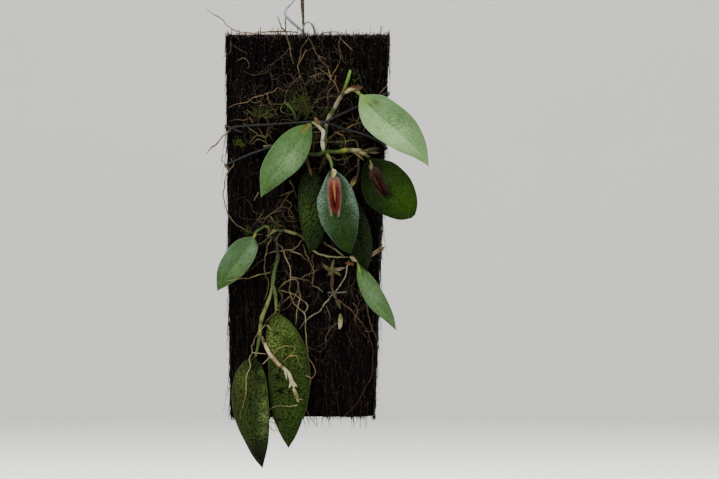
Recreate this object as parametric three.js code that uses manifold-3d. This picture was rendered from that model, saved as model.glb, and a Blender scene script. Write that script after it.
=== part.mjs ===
// A small orchid wired to a hanging slab of tree-fern fibre, in millimetres, +Z up.
// The origin is the point inside the top of the wire hook, where the whole thing hangs.
// The slab's front face looks along -Y. Plan points below are [x, z] pairs: x from the
// slab's centre line, z from its top edge. A third value is how far a point stands out
// in front of the slab's face.

import * as THREE from 'three';
import { mergeVertices } from 'three/addons/utils/BufferGeometryUtils.js';
import Module from 'manifold-3d';

const wasm = await Module();
wasm.setup();

// Driving dimensions
const HANG_HEIGHT = 70;
const FACE_Y = -10;
const SLAB_TOP_WIDTH = 102;
const SLAB_BOTTOM_WIDTH = 90;
const SLAB_LEAN = -3.2;
const SLAB_HEIGHT = 238;
const SLAB_DEPTH = 28;
const FIBRE_RELIEF = 1.9;
const HANGER_WIRE = 1.8;
const HOOK_RADIUS = 9;
const TIE_WIRE = 1.3;
const STAPLE_WIRE = 1.1;
const LEAF_THICK = 1.5;
const LEAF_RIM = 0.7;
const CLEARANCE = 0.3;
const REST_GAP = 0.1;
const FAR_OUT = 200;
const RAGGED_END = 1.4;
const ROOT_STEP = 5.4;
const STEM_STEP = 3;

const group = new THREE.Group();
const pieces = new Map();
const FRONT_AND_BACK = new THREE.MeshBasicMaterial({ side: THREE.DoubleSide });

// Places

function place([x, z, out = 0]) {
  return new THREE.Vector3(x, FACE_Y - out, z - HANG_HEIGHT);
}

function seededRandom(seed) {
  let state = seed;
  return () => {
    state = (state * 1664525 + 1013904223) % 4294967296;
    return state / 4294967296;
  };
}

function smooth(list, share) {
  const at = share * (list.length - 1);
  const low = Math.min(Math.floor(at), list.length - 2);
  const t = at - low;
  const ease = t * t * (3 - 2 * t);
  return list[low] + (list[low + 1] - list[low]) * ease;
}

// Solids

function closedGeometry(vertices, faces) {
  const geometry = new THREE.BufferGeometry();
  const flat = vertices.flatMap((v) => [v.x, v.y, v.z]);
  geometry.setAttribute('position', new THREE.Float32BufferAttribute(flat, 3));
  geometry.setIndex(faces.flat());
  return geometry;
}

function toSolid(geometry) {
  const bare = geometry.clone();
  bare.deleteAttribute('normal');
  bare.deleteAttribute('uv');
  const merged = mergeVertices(bare, 1e-4);
  return new wasm.Manifold(new wasm.Mesh({
    numProp: 3,
    vertProperties: new Float32Array(merged.attributes.position.array),
    triVerts: new Uint32Array(merged.index.array),
  }));
}

function toGeometry(solid) {
  const mesh = solid.getMesh();
  const geometry = new THREE.BufferGeometry();
  geometry.setAttribute('position', new THREE.BufferAttribute(mesh.vertProperties, 3));
  geometry.setIndex(new THREE.BufferAttribute(mesh.triVerts, 1));
  geometry.computeVertexNormals();
  return geometry;
}

function join(solids) {
  return solids.reduce((whole, next) => whole.add(next));
}

function largestBody(solid) {
  const bodies = solid.decompose();
  return bodies.reduce((best, body) => (body.volume() > best.volume() ? body : best));
}

// A round rod along a smooth line through the given points. Its radius follows a list of
// values spread evenly from start to end.
function rod(points, radii, { sides = 6, step = STEM_STEP, grow = 0 } = {}) {
  const curve = new THREE.CatmullRomCurve3(points, false, 'centripetal');
  const count = Math.max(2, Math.round(curve.getLength() / step));
  const frames = curve.computeFrenetFrames(count, false);
  const vertices = [];
  const faces = [];
  for (let i = 0; i <= count; i++) {
    const radius = smooth(radii, i / count) + grow;
    const reach = i === 0 ? -grow : i === count ? grow : 0;
    const centre = curve.getPointAt(i / count).addScaledVector(frames.tangents[i], reach);
    for (let k = 0; k < sides; k++) {
      const angle = (2 * Math.PI * k) / sides;
      const spoke = frames.normals[i].clone().multiplyScalar(Math.cos(angle))
        .addScaledVector(frames.binormals[i], Math.sin(angle)).multiplyScalar(radius);
      vertices.push(centre.clone().add(spoke));
    }
  }
  for (let i = 0; i < count; i++) {
    for (let k = 0; k < sides; k++) {
      const a = i * sides + k;
      const b = i * sides + (k + 1) % sides;
      faces.push([a, b, a + sides], [b, b + sides, a + sides]);
    }
  }
  for (let k = 1; k < sides - 1; k++) {
    const last = count * sides;
    faces.push([0, k + 1, k], [last, last + k, last + k + 1]);
  }
  return toSolid(closedGeometry(vertices, faces));
}

// A leaf blade between a left and a right edge, each a line of plan points from base to tip.
// out: how far its midrib stands out at base, middle and tip. back: how far each edge falls
// behind the midrib. channel: depth of the groove along the midrib. fold: how far the left
// third is turned forward. wave: height of the ripples along both edges.
function blade(shape, grow = 0) {
  const { left, right, out, back = [3, 3], channel = 0.8, fold = 0, wave = 0.5, waves = 3 } = shape;
  const { rows = 10, columns = 6, thick = LEAF_THICK, rim = LEAF_RIM, base = 1.2, tip = 0.7 } = shape;
  const edge = (side) => new THREE.CatmullRomCurve3(
    side.map(([x, z]) => new THREE.Vector3(x, 0, z)), false, 'centripetal');
  const edges = [edge(left), edge(right)];
  const front = [];
  const rear = [];
  for (let i = 0; i <= rows; i++) {
    const u = i / rows;
    const [a, b] = edges.map((curve) => curve.getPointAt(u));
    const along = edges[0].getTangentAt(u).add(edges[1].getTangentAt(u)).normalize();
    const across = new THREE.Vector3(-along.z, 0, along.x);
    if (across.dot(edges[1].getPointAt(0.5).sub(edges[0].getPointAt(0.5))) < 0) across.negate();
    const ends = (i === 0 ? base : i === rows ? tip : 0) / 2 + grow;
    a.addScaledVector(across, -ends);
    b.addScaledVector(across, ends);
    const reach = i === 0 ? -grow : i === rows ? grow : 0;
    const body = Math.sin(Math.PI * u);
    for (let j = 0; j <= columns; j++) {
      const v = (2 * j) / columns - 1;
      const spot = a.clone().lerp(b, j / columns).addScaledVector(along, reach);
      const fall = (v < 0 ? back[0] : back[1]) * Math.abs(v) ** 1.7 * body ** 0.6;
      const groove = channel * Math.exp(-((v / 0.2) ** 2)) * body ** 0.4;
      const turned = fold * Math.max(0, -v - 0.3) ** 1.3 * body;
      const ripple = wave * Math.abs(v) ** 2 * Math.sin(2 * Math.PI * waves * u + (v < 0 ? 0 : 2)) * body;
      const surface = smooth(out, u) - fall - groove + turned + ripple;
      const depth = rim + (thick - rim) * (1 - v * v) * (0.4 + 0.6 * body);
      front.push(place([spot.x, spot.z, surface + grow]));
      rear.push(place([spot.x, spot.z, surface - depth - grow]));
    }
  }
  return sheet(front, rear, rows, columns);
}

// Two like grids of points, joined round their rim into one closed solid.
function sheet(front, rear, rows, columns) {
  const wide = columns + 1;
  const offset = front.length;
  const faces = [];
  for (let i = 0; i < rows; i++) {
    for (let j = 0; j < columns; j++) {
      const a = i * wide + j;
      const b = a + 1;
      const c = a + wide;
      const d = c + 1;
      faces.push([a, c, b], [b, c, d]);
      faces.push([offset + a, offset + b, offset + c], [offset + b, offset + d, offset + c]);
    }
  }
  const rim = [];
  for (let j = 0; j < columns; j++) rim.push(j);
  for (let i = 0; i < rows; i++) rim.push(i * wide + columns);
  for (let j = columns; j > 0; j--) rim.push(rows * wide + j);
  for (let i = rows; i > 0; i--) rim.push(i * wide);
  rim.forEach((a, k) => {
    const b = rim[(k + 1) % rim.length];
    faces.push([a, b, offset + a], [b, offset + b, offset + a]);
  });
  const solid = toSolid(closedGeometry([...front, ...rear], faces));
  if (solid.volume() > 0) return solid;
  return toSolid(closedGeometry([...front, ...rear], faces.map(([a, b, c]) => [a, c, b])));
}

// Pieces are kept in the order in which they are made. A later one is cut back to leave a
// clearance round each earlier one that it meets, and what the cut leaves loose is dropped.
function keep(name, { solid, room }, colour, roughness = 0.6, metalness = 0) {
  let body = solid;
  for (const other of pieces.values()) {
    if (touching(body, other.room)) body = body.subtract(other.room);
  }
  body = largestBody(body);
  pieces.set(name, { solid: body, room, colour, roughness, metalness });
}

function touching(a, b) {
  const p = a.boundingBox();
  const q = b.boundingBox();
  return [0, 1, 2].every((axis) => p.min[axis] < q.max[axis] && q.min[axis] < p.max[axis]);
}

function withRoom(make) {
  return { solid: make(0), room: make(CLEARANCE) };
}

// How far out the front of the named pieces stands at a plan point, or 0 for the slab's face.
function surfaceOut(x, z, carriers) {
  const eye = place([x, z, FAR_OUT]);
  const ray = new THREE.Raycaster(eye, new THREE.Vector3(0, 1, 0));
  const hits = carriers.flatMap((mesh) => ray.intersectObject(mesh));
  const nearest = Math.min(...hits.map((hit) => hit.distance));
  return hits.length ? FAR_OUT - nearest : 0;
}

// A root lies on the slab's face, or over the pieces named, and lifts off before it meets
// their edges. A plan point with a third value stands out by that much instead.
function lay(route, radius, over = []) {
  const carriers = over.map((name) => new THREE.Mesh(toGeometry(pieces.get(name).solid), FRONT_AND_BACK));
  const plan = new THREE.CatmullRomCurve3(
    route.map(([x, z, out = 0]) => new THREE.Vector3(x, out, z)), false, 'centripetal');
  const count = Math.max(2, Math.ceil(plan.getLength() / ROOT_STEP));
  const spots = plan.getSpacedPoints(count);
  const under = spots.map((spot) => surfaceOut(spot.x, spot.z, carriers));
  return spots.map((spot, i) => {
    const near = under.slice(Math.max(0, i - 1), i + 2);
    const rest = carriers.length ? Math.max(...near) : 0;
    return place([spot.x, spot.z, Math.max(spot.y, rest + radius + CLEARANCE + REST_GAP)]);
  });
}

function rootSystem(name, routes, { radius = 0.6, over = [], colour = 0xa8946a } = {}) {
  const laid = routes.map((route) => lay(route, radius, over));
  const make = (grow) => join(laid.map((points) => rod(
    points, [radius, radius * 1.05, radius, radius * 0.9, radius * 0.75],
    { sides: 5, step: ROOT_STEP, grow })));
  keep(name, withRoom(make), colour, 0.75);
}

// Wire hanger: a hook, a kinked shank, and a turn through a hole in the slab's top

const hookCentre = -(HOOK_RADIUS - HANGER_WIRE / 2);

function hangerRoute() {
  const bow = [];
  const turns = 9;
  for (let i = 0; i <= turns; i++) {
    const angle = Math.PI * (-0.25 + (1.25 * i) / turns);
    bow.push([HOOK_RADIUS * Math.cos(angle), HANG_HEIGHT + hookCentre + HOOK_RADIUS * Math.sin(angle)]);
  }
  const shank = [[-8.6, 55], [-5, 48], [-1.5, 40], [-3.5, 31], [-9, 22], [-14.3, 14.3], [-11.5, 10]];
  const throughSlab = [[-3, 2.5], [0.6, -2.5], [1.6, -9], [4, -11.6], [6.2, -8], [6.2, -1.5], [4.6, 4], [3, 7]];
  return [...bow, ...shank, ...throughSlab].map(([x, z]) => place([x, z, FACE_Y]));
}

const hangerPoints = hangerRoute();
keep('wire_hanger', withRoom((grow) => rod(
  hangerPoints, [HANGER_WIRE / 2, HANGER_WIRE / 2], { sides: 6, step: 3.4, grow })), 0xb9bec3, 0.35, 0.85);

// Tie wire: one length wound twice round the slab, crossing itself once in front

function slabEdge(side, z) {
  const share = -z / SLAB_HEIGHT;
  const half = (SLAB_TOP_WIDTH + (SLAB_BOTTOM_WIDTH - SLAB_TOP_WIDTH) * share) / 2;
  return SLAB_LEAN * share + side * half;
}

function tieRoute() {
  const proud = 2.4;
  const wrap = TIE_WIRE / 2 + 0.1;
  const sunk = -(SLAB_DEPTH - TIE_WIRE / 2 - 0.1);
  const round = (side, z, drop) => [
    [slabEdge(side, z) + side * wrap, z, -1.5],
    [slabEdge(side, z) + side * wrap, z - drop / 2, -SLAB_DEPTH / 2],
    [slabEdge(side, z) + side * wrap, z - drop, -SLAB_DEPTH + 2.5],
  ];
  const upperStrand = [
    [-49.5, -60.4, 3.8], [-46.5, -57.8, 4.2], [-42, -57, proud + 0.6], [-24.5, -56, proud], [-2, -54.6, proud],
    [7, -54.2, 4.4], [12, -54.8, 5.4], [17, -56.6, 4.6], [24, -59, proud], [36, -62.4, proud], [46.5, -67.5, 1.8],
  ];
  const lowerStrand = [
    [-45, -78.4, 1.8], [-36, -74.5, proud], [-24.5, -70.4, proud], [-6, -62.4, proud], [5, -57.4, 5.2],
    [11.5, -54.3, 7.2], [17, -51.4, 6], [24, -48.2, proud + 0.4], [38, -41.6, proud], [46.5, -37.6, 1.8],
  ];
  const backDown = [[40, -72, sunk], [0, -76, sunk], [-40, -79, sunk]];
  const backLevel = [[40, -40, sunk], [0, -48, sunk], [-40, -55, sunk]];
  return [
    ...upperStrand, ...round(1, -70, 1), ...backDown, ...round(-1, -81, 1).reverse(),
    ...lowerStrand, ...round(1, -36, 1), ...backLevel, ...round(-1, -56.5, 1).reverse(),
    [-48.5, -57.6, proud - 0.4], [-45, -59.2, proud - 0.3], [-41.5, -60.6, proud - 0.3],
  ].map(place);
}

const tiePoints = tieRoute();
keep('tie_wire', withRoom((grow) => rod(
  tiePoints, [TIE_WIRE / 2, TIE_WIRE / 2], { sides: 5, step: 6, grow })), 0x4a5148, 0.5, 0.3);

const staplePoints = [
  [13, -161, -7], [13, -161, 0.5], [13.4, -161, 2.3], [18.5, -161, 2.5], [24, -160.6, 2.3], [24.4, -160.6, 0.5], [24.4, -160.6, -7],
].map(place);
keep('wire_staple', withRoom((grow) => rod(
  staplePoints, [STAPLE_WIRE / 2, STAPLE_WIRE / 2], { sides: 5, step: 2.4, grow })), 0xb4b6b4, 0.4, 0.6);

// Creeping stems that the leaf stalks grow from

function stem(name, points, radii, colour, options = {}) {
  const line = points.map(place);
  keep(name, withRoom((grow) => rod(line, radii, { ...options, grow })), colour);
}

function forkedStem(name, branches, colour) {
  const make = (grow) => join(branches.map(({ points, radii }) => rod(points.map(place), radii, { grow })));
  keep(name, withRoom(make), colour);
}

stem('rhizome_upper',
  [[-2, -74, 3.4], [7, -74.5, 3.4], [10.5, -73, 3.5], [19, -73, 3.3], [24, -72, 3.6], [31, -72.3, 3.4], [38, -73, 3], [44, -71, 2.6]],
  [1.2, 1.4, 1.5, 1.3, 1.7, 1.5, 1.3, 0.7], 0x5f7832);

forkedStem('rhizome_lower', [
  { points: [[-25, -125.5, 3], [-21, -122.6, 3], [-15.5, -122, 2.9], [-8.5, -124, 2.9], [-4, -125.5, 2.7], [-2, -128, 2.4]],
    radii: [1.1, 1.4, 1.2, 1.5, 1.2, 0.9] },
  { points: [[-16, -122.4, 3], [-19, -127, 3.2], [-18.8, -133, 3.6]], radii: [1, 1.1, 1.1] },
], 0x75863c);

// Leaf stalks with their papery sheaths, thicker where a sheath wraps them

stem('stem_1',
  [[11, -70, 3.2], [11.3, -62, 3], [12, -55, 3.2], [14, -50.5, 4.6], [16, -47.5, 5.6], [19.5, -40.5, 8],
    [22, -37.5, 10], [24.5, -35.8, 12], [27, -34.4, 14], [30, -34.8, 15.5], [32, -36.6, 16]],
  [1.1, 1.2, 1.5, 1.2, 1.8, 1.5, 1.1, 1.1, 1.5, 1.2], 0x5a7a3a);
stem('new_shoot',
  [[21.8, -36.4, 10.6], [23.8, -32, 11.8], [25.3, -27.6, 12.6], [26.6, -23, 13]],
  [0.7, 1, 1.15, 0.8], 0x8fc04a, { sides: 6, step: 2.2 });
stem('left_shoot',
  [[-7.2, -53, 1.4], [-9, -47.5, 2], [-11.5, -44.5, 2.2], [-14.2, -42.5, 2.4]],
  [0.9, 1.1, 1, 0.7], 0x6d8a40);
stem('stem_2',
  [[9.9, -72.3, 4.8], [9.4, -66, 8], [9.8, -60.5, 9.8], [8.2, -58.6, 10.6], [6, -56.3, 11.4], [3.6, -55, 12.4]],
  [1.1, 1.6, 1.2, 1.5, 1.1, 1], 0x8aa25a);
stem('stem_3',
  [[12.4, -74.6, 5.4], [14, -77.5, 8], [15, -80, 10], [15.3, -82.6, 11.8]], [1, 1.3, 1.1, 0.9], 0x7b9446);
stem('stem_4', [[-1.5, -75.6, 4.6], [-0.4, -78.4, 5.6], [0.8, -81.6, 6.6]], [0.9, 1.2, 0.9], 0x6b5a34);
stem('stem_5', [[31.6, -74, 4], [32, -83, 6], [30.4, -90.5, 7.2], [27.6, -95.2, 8]], [1, 1.2, 1.1, 0.9], 0x5c7534);
stem('stem_6', [[33, -73.6, 5], [35.5, -74.6, 6.6], [38, -76.2, 8.6]], [1.3, 1.4, 1], 0x92a06a);
stem('stem_7',
  [[-24, -124, 5], [-24.4, -120.4, 6.4], [-26.5, -119.6, 7], [-29, -121, 7.4], [-32, -123, 8], [-33.2, -125, 8.2]],
  [1.1, 1.4, 1.2, 1.2, 1], 0x7d9650);
forkedStem('stem_9_and_10', [
  { points: [[-18.8, -133, 3.6], [-18.4, -138.5, 4.4], [-20.4, -146.5, 5], [-21.4, -153, 5.6], [-22, -158, 6.4],
    [-23.6, -164, 8], [-26, -170.5, 9.4], [-28.6, -177.2, 10.6], [-29.5, -184.5, 12], [-30, -189, 13],
    [-31.2, -196, 15.4], [-32.2, -200.4, 16.6]],
    radii: [1.1, 1.5, 1.3, 1.6, 1.3, 1.1, 1.3, 1.5, 1.2, 1.4, 1.1, 1] },
  { points: [[-21.6, -155.5, 6], [-20.2, -161, 7.4], [-19.6, -167, 9], [-19.6, -171.6, 10]],
    radii: [1, 1.2, 1.2, 0.9] },
], 0x8d9a52);

// Leaves

const LEAVES = {
  leaf_1: {
    left: [[32.6, -37.6], [32, -47], [35, -56.5], [41, -63], [47.5, -67.5], [57, -73], [67, -77], [75.4, -82]],
    right: [[32.6, -37.6], [46.5, -38], [57, -44], [66, -52], [71.5, -61], [74.5, -70], [75.6, -82]],
    out: [16, 23, 19], back: [5, 6], channel: 0.7, colour: 0x8caf82,
  },
  leaf_2: {
    left: [[2.6, -55.6], [-6, -57], [-13.5, -61], [-20.5, -68], [-26, -76.5], [-29, -84], [-29.5, -91], [-28.8, -101.5]],
    right: [[2.6, -55.6], [3, -64], [2, -70], [-1.2, -78], [-6, -84.5], [-13.5, -90.5], [-21.5, -96.5], [-28.6, -101.5]],
    out: [12.6, 22, 24], back: [6, 5], channel: 0.7, colour: 0x78a06e,
  },
  leaf_3: {
    left: [[15.3, -83.2], [12, -88], [8.4, -96.5], [6, -104], [7, -112], [9.4, -119.5], [14, -126], [20, -133], [26.4, -136.8]],
    right: [[15.5, -83.2], [23, -89], [27.6, -95.5], [30.4, -103], [32, -110], [31.6, -119], [30.4, -127], [26.8, -136.8]],
    out: [12, 21, 22], back: [6, 6], channel: 1, colour: 0x5a7d5f,
  },
  leaf_4: {
    left: [[1, -82.4], [-3, -88.6], [-5.5, -95.5], [-5.6, -105], [-5, -113.5], [-3.6, -121], [-1.6, -129], [1.6, -136]],
    right: [[1.2, -82.4], [5.5, -86], [8.6, -91], [10.8, -103], [11.6, -113], [10.4, -124], [7.4, -131], [1.9, -136]],
    out: [6.6, 9.6, 8], back: [2.6, 2.4], channel: 1, wave: 0.3, colour: 0x2d411e,
  },
  leaf_5: {
    left: [[26.8, -96], [22.6, -104], [21.4, -113], [22.4, -122], [25, -131], [30, -140], [37, -147.4]],
    right: [[27, -96], [31, -102.5], [35.5, -111], [38.8, -120.5], [40.5, -130], [40.2, -138], [37.3, -147.4]],
    out: [8, 11, 9], back: [2.6, 3], channel: 1, wave: 0.3, colour: 0x283c1c,
  },
  leaf_6: {
    left: [[38.6, -77], [34.8, -82.5], [33.8, -89], [34.4, -97.5], [37.2, -105], [43, -110], [50, -113.6], [58, -115.7], [66.2, -115.2]],
    right: [[38.8, -76.8], [47.6, -78], [53.5, -79.8], [59, -84], [64, -89.8], [67, -96.5], [68.4, -103], [68, -110], [66.6, -115]],
    out: [9, 26, 38], back: [5, 5], channel: 1.2, tip: 2, colour: 0x31480f,
  },
  leaf_7: {
    left: [[-33.6, -125.8], [-38.6, -126.3], [-45.2, -129.2], [-50, -134.6], [-54.3, -141.3], [-56.4, -148], [-56.6, -155], [-56.2, -159.6]],
    right: [[-33.4, -126], [-31, -131.7], [-31.8, -136.6], [-35, -143.2], [-39.4, -149], [-45.2, -153.7], [-51, -157.2], [-56, -159.7]],
    out: [8.2, 14, 13], back: [4, 4], channel: 0.6, colour: 0x73966a,
  },
  leaf_8: {
    left: [[31.2, -142.6], [30.8, -148], [31.5, -155], [34.2, -162.4], [38, -169], [43, -174], [48.2, -178.2], [55.2, -184.2]],
    right: [[31.6, -142.4], [37, -147], [43, -154], [47.6, -161.4], [51.4, -169], [54, -176], [55.4, -184]],
    out: [8, 15, 15], back: [3.4, 3.4], channel: 0.6, colour: 0x82a578,
  },
  leaf_9: {
    left: [[-19.6, -172.6], [-24, -179], [-25.7, -186], [-25.6, -193], [-24.6, -203], [-23.8, -221], [-22.6, -232],
      [-20.2, -241.5], [-16.6, -250], [-12, -257.6]],
    right: [[-19.4, -172.6], [-11.6, -178.2], [-7.8, -182.5], [-4, -188.6], [-1.1, -195.5], [1, -204], [1.9, -213.5],
      [1.2, -223], [-0.4, -232], [-3.2, -240.5], [-7, -250], [-11.6, -257.6]],
    out: [10, 13.5, 11], back: [2.6, 4], channel: 0.9, fold: 3.2, rows: 14, colour: 0x50692d,
  },
  leaf_10: {
    left: [[-33, -201], [-39.4, -204], [-44.4, -210.6], [-46.7, -219.5], [-47.1, -228], [-45.6, -237.5], [-42.8, -246],
      [-38.5, -254.6], [-33.7, -263.3], [-28.2, -270]],
    right: [[-32.6, -201], [-28.8, -206], [-26, -213.5], [-24.6, -223], [-23.7, -235.5], [-23.7, -247], [-24.6, -256.6],
      [-27.8, -270]],
    out: [17, 20.5, 17.5], back: [4.5, 2.8], channel: 1.6, wave: 0.7, waves: 4, rows: 14, colour: 0x3c501e,
  },
};

for (const [name, shape] of Object.entries(LEAVES)) {
  keep(name, withRoom((grow) => blade(shape, grow)), shape.colour, 0.4);
}

// Flowers: a pair of sepals grown together at the top and parted at their tips, a lip that
// runs down the seam between them, and a stalk with a papery bract

const FLOWER_LENGTH = 22.6;
const FLOWER_WIDTH = 8.2;
const FLOWER_LIFT = 2.2;

// The flower's own line runs down from its stalk, and each point is [aside, along, raised]
// in a flower of full size.
function flowerPlace(flower, [aside, along, raised]) {
  return flower.top.clone()
    .addScaledVector(flower.aside, aside * flower.size)
    .addScaledVector(flower.down, along * flower.size)
    .addScaledVector(flower.up, raised * flower.size);
}

function flowerRod(flower, points, radii, options) {
  return rod(points.map((point) => flowerPlace(flower, point)), radii.map((radius) => radius * flower.size), options);
}

function flowerSpot(leaf, top, end, lean, size) {
  const carrier = [new THREE.Mesh(toGeometry(pieces.get(leaf).solid), FRONT_AND_BACK)];
  const rest = ([x, z]) => place([x, z, surfaceOut(x, z, carrier) + FLOWER_LIFT]);
  const start = rest(top);
  const down = rest(end).sub(start).normalize();
  const aside = new THREE.Vector3(Math.cos(lean), Math.sin(lean), 0);
  aside.addScaledVector(down, -aside.dot(down)).normalize();
  const up = down.clone().cross(aside).normalize();
  if (up.y > 0) up.negate();
  return { top: start, down, aside, up, size };
}

function sepals(flower, grow) {
  const sepal = (side) => flowerRod(flower, [
    [side * 0.5, 0, 0.6], [side * 1.7, 4, 1.3], [side * 2.1, 10, 1.5], [side * 2.1, 16, 1.3],
    [side * 2, FLOWER_LENGTH - 2, 0.9], [side * 1.9, FLOWER_LENGTH, 0.8],
  ], [0.9, 1.9, FLOWER_WIDTH / 4, FLOWER_WIDTH / 4, 1.5, 0.3], { sides: 8, step: 2.6, grow });
  return join([sepal(-1), sepal(1)]);
}

function lip(flower, grow) {
  return flowerRod(flower, [[0, 3.2, 3.9], [0.1, 8, 4.3], [0.2, 13, 4.2], [0.3, 17.5, 3.7]],
    [0.5, 1, 0.8, 0.35], { sides: 6, step: 2.8, grow });
}

function flowerStalk(flower, foot, grow) {
  const line = [foot, [0, -4.4, 0.8], [0, -1, 0.7]].map((point, i) => (
    i === 0 ? place(point) : flowerPlace(flower, point)));
  const bract = flowerRod(flower, [[0.4, -6.4, 1], [0.1, -3.4, 1.2]], [0.9, 1.7, 1.1], { sides: 6, step: 1.2, grow });
  return join([rod(line, [0.7, 0.6, 0.7], { sides: 6, step: 1.8, grow }), bract]);
}

const FLOWERS = {
  flower_1: { spot: flowerSpot('leaf_3', [16.5, -91], [17.2, -111], 0.05, 1), foot: [15.8, -83.6, 13.4] },
  flower_2: { spot: flowerSpot('leaf_6', [42.2, -85.6], [50, -101], -0.8, 0.87), foot: [39.2, -78.6, 12] },
};

for (const [name, { spot, foot }] of Object.entries(FLOWERS)) {
  keep(`${name}_sepals`, withRoom((grow) => sepals(spot, grow)), 0x961e2d, 0.55);
  keep(`${name}_lip`, withRoom((grow) => lip(spot, grow)), 0xd7965a, 0.5);
  keep(`${name}_stalk`, withRoom((grow) => flowerStalk(spot, foot, grow)), 0x9a8a52, 0.7);
}

// An old leafless stem over leaf 9, its bud, a side plantlet and the dry remains

function layStem(name, route, radii, over, colour) {
  const points = lay(route, Math.max(...radii), over);
  keep(name, withRoom((grow) => rod(points, radii, { grow })), colour, 0.8);
}

layStem('old_stem',
  [[-28.4, -188.6, 13], [-26, -194], [-23.5, -199], [-20.5, -202.6], [-17, -206.5], [-13, -209], [-11, -212.4], [-9.6, -216.4], [-9, -219]],
  [0.9, 1.2, 1.1, 1.2, 1.5, 1.1, 1.2, 1.8], ['leaf_9'], 0xd8cfb8);
layStem('old_stem_bud', [[-8.7, -220.2], [-7.6, -223], [-6.2, -226.6], [-5.6, -229]], [0.8, 1.8, 1.3, 0.5], ['leaf_9'], 0xa8a06a);
forkedStem('plantlet', [
  { points: [[26.4, -138.6, 3.6], [30, -139.4, 4.4], [34, -140.2, 4.6], [38.5, -139, 4.4], [42, -136, 4.2], [48, -132.8, 4]],
    radii: [1.3, 2, 1.5, 1, 1.7, 0.9] },
  { points: [[30.6, -139.6, 4.6], [31, -141, 6.4], [31.3, -141.8, 7.6]], radii: [1.1, 1, 0.8] },
], 0xcabfa0);
forkedStem('dead_stump', [
  { points: [[9.4, -144.2, 1.6], [12, -146.6, 2], [15.4, -146.4, 2.4], [19.5, -146, 2], [23.2, -145.4, 1.7]],
    radii: [0.7, 0.9, 1.9, 0.9, 0.6] },
  { points: [[15.4, -146.6, 2.4], [15.4, -152, 2.2], [15.4, -159.2, 1.7]], radii: [1.4, 1.2, 1] },
], 0x6b4a30);
stem('low_bud', [[20.6, -174.2, 2.4], [20.6, -178, 2.8], [20.4, -181.5, 2.6], [20, -184, 2.2]], [0.8, 1.9, 1.7, 0.6], 0xd4c6a0,
  { step: 2 });
keep('dry_blade', withRoom((grow) => blade({
  left: [[-2.3, -4], [-3.4, 8], [-4.4, 20], [-4.6, 27], [-3.4, 33]],
  right: [[-1.9, -4], [-2, 8], [-2, 20], [-2.2, 27], [-3.2, 33]],
  out: [-5, -4, -3], back: [0.4, 0.4], channel: 0.2, wave: 0.2, rows: 8, columns: 3, thick: 0.8, base: 0.8,
}, grow)), 0x7c7a5e, 0.85);
stem('dry_strand',
  [[-3.8, -2, -2.6], [-2.8, 4, -2.2], [-1, 8.2, -2], [1.4, 8, -2], [3.8, 4.4, -2.2], [5, -2, -2.6]],
  [0.5, 0.6, 0.5], 0xa9a08c, { sides: 5, step: 2 });

// Roots. Each system is one body, and its side roots start on the middle line of another.

rootSystem('roots_top', [
  [[-6.5, 1.8, -5], [-12, 2, -4], [-18, 2.2, -3], [-28.5, 1.6, -3], [-34.5, 1.4, -3], [-41, 1.8, -3], [-47, 3.6, -3],
    [-51, 7, -3], [-54, 10.5, -2], [-59, 13, -1], [-63, 16, 0]],
  [[-14, 2, -4], [-16.6, 6.4, -3], [-19, 12, -2]],
  [[-13.6, 10.5, -4], [-13.6, 4.4, -3.6], [-13.6, 1.8, -2.4], [-13, 1, 0.2], [-12, -3], [-10.5, -12], [-8.6, -18]],
], { colour: 0xb4a47c });

rootSystem('roots_upper', [
  [[6.5, -1, 0.4], [9.5, 1.2, -0.4], [18.5, 1.6, -0.2], [20.6, -0.6, 0.6], [19.5, -7], [20.5, -13], [19.5, -18.5], [16.5, -23], [14.5, -27]],
  [[20.2, -2], [24, -6], [28, -9.5]],
  [[0.5, -1.6], [3, -5.5], [4, -9.5], [6.5, -13], [9.5, -17], [13, -20.5], [14.5, -27], [17, -30.5], [19, -35.5], [19.8, -43.5],
    [18.5, -50], [18.6, -56]],
  [[0.5, -2], [-3.5, -7.5], [-4.6, -13], [-6, -20], [-4.5, -25.5], [-1.5, -31], [-0.5, -37.5], [3, -47], [6.5, -51]],
  [[-4.5, -25.5], [-8.5, -29.5], [-11.5, -31.5], [-13, -36], [-14, -41], [-16.5, -47], [-12.5, -50.5], [-10.5, -54]],
  [[-13, -36], [-18.5, -33], [-21, -35], [-26, -37], [-33.5, -39], [-37, -41.5], [-44, -43], [-49.5, -45.5]],
  [[-25.4, -36.8], [-24, -42], [-20.5, -47], [-17.6, -52]],
  [[-23.6, -43], [-16, -43], [-14.6, -42.6]],
  [[-1.5, -31], [2.5, -28], [6, -25.5], [13.8, -23.4]],
  [[4, -21], [6.5, -20.5], [10.5, -23], [14, -27], [11.5, -35]],
  [[17, -30.5], [12.4, -37], [13, -43.5], [10.5, -48.5], [8, -52]],
  [[-14, -41], [-7, -46.5], [-2, -46.5], [3, -47]],
  [[-38, -47], [-31.5, -51], [-28, -50], [-26, -51.5], [-19, -49.4]],
  [[-26, -51.4], [-24.4, -57.5], [-26, -65], [-25, -68.6]],
  [[-31, -58], [-29, -61], [-26, -65]],
  [[-34.5, -68], [-30.6, -65], [-28, -66], [-25.2, -68]],
  [[-36.5, -68], [-34.5, -65], [-31.5, -63], [-27.4, -63.2]],
  [[6.5, -13], [12, -15.5]],
]);

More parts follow.
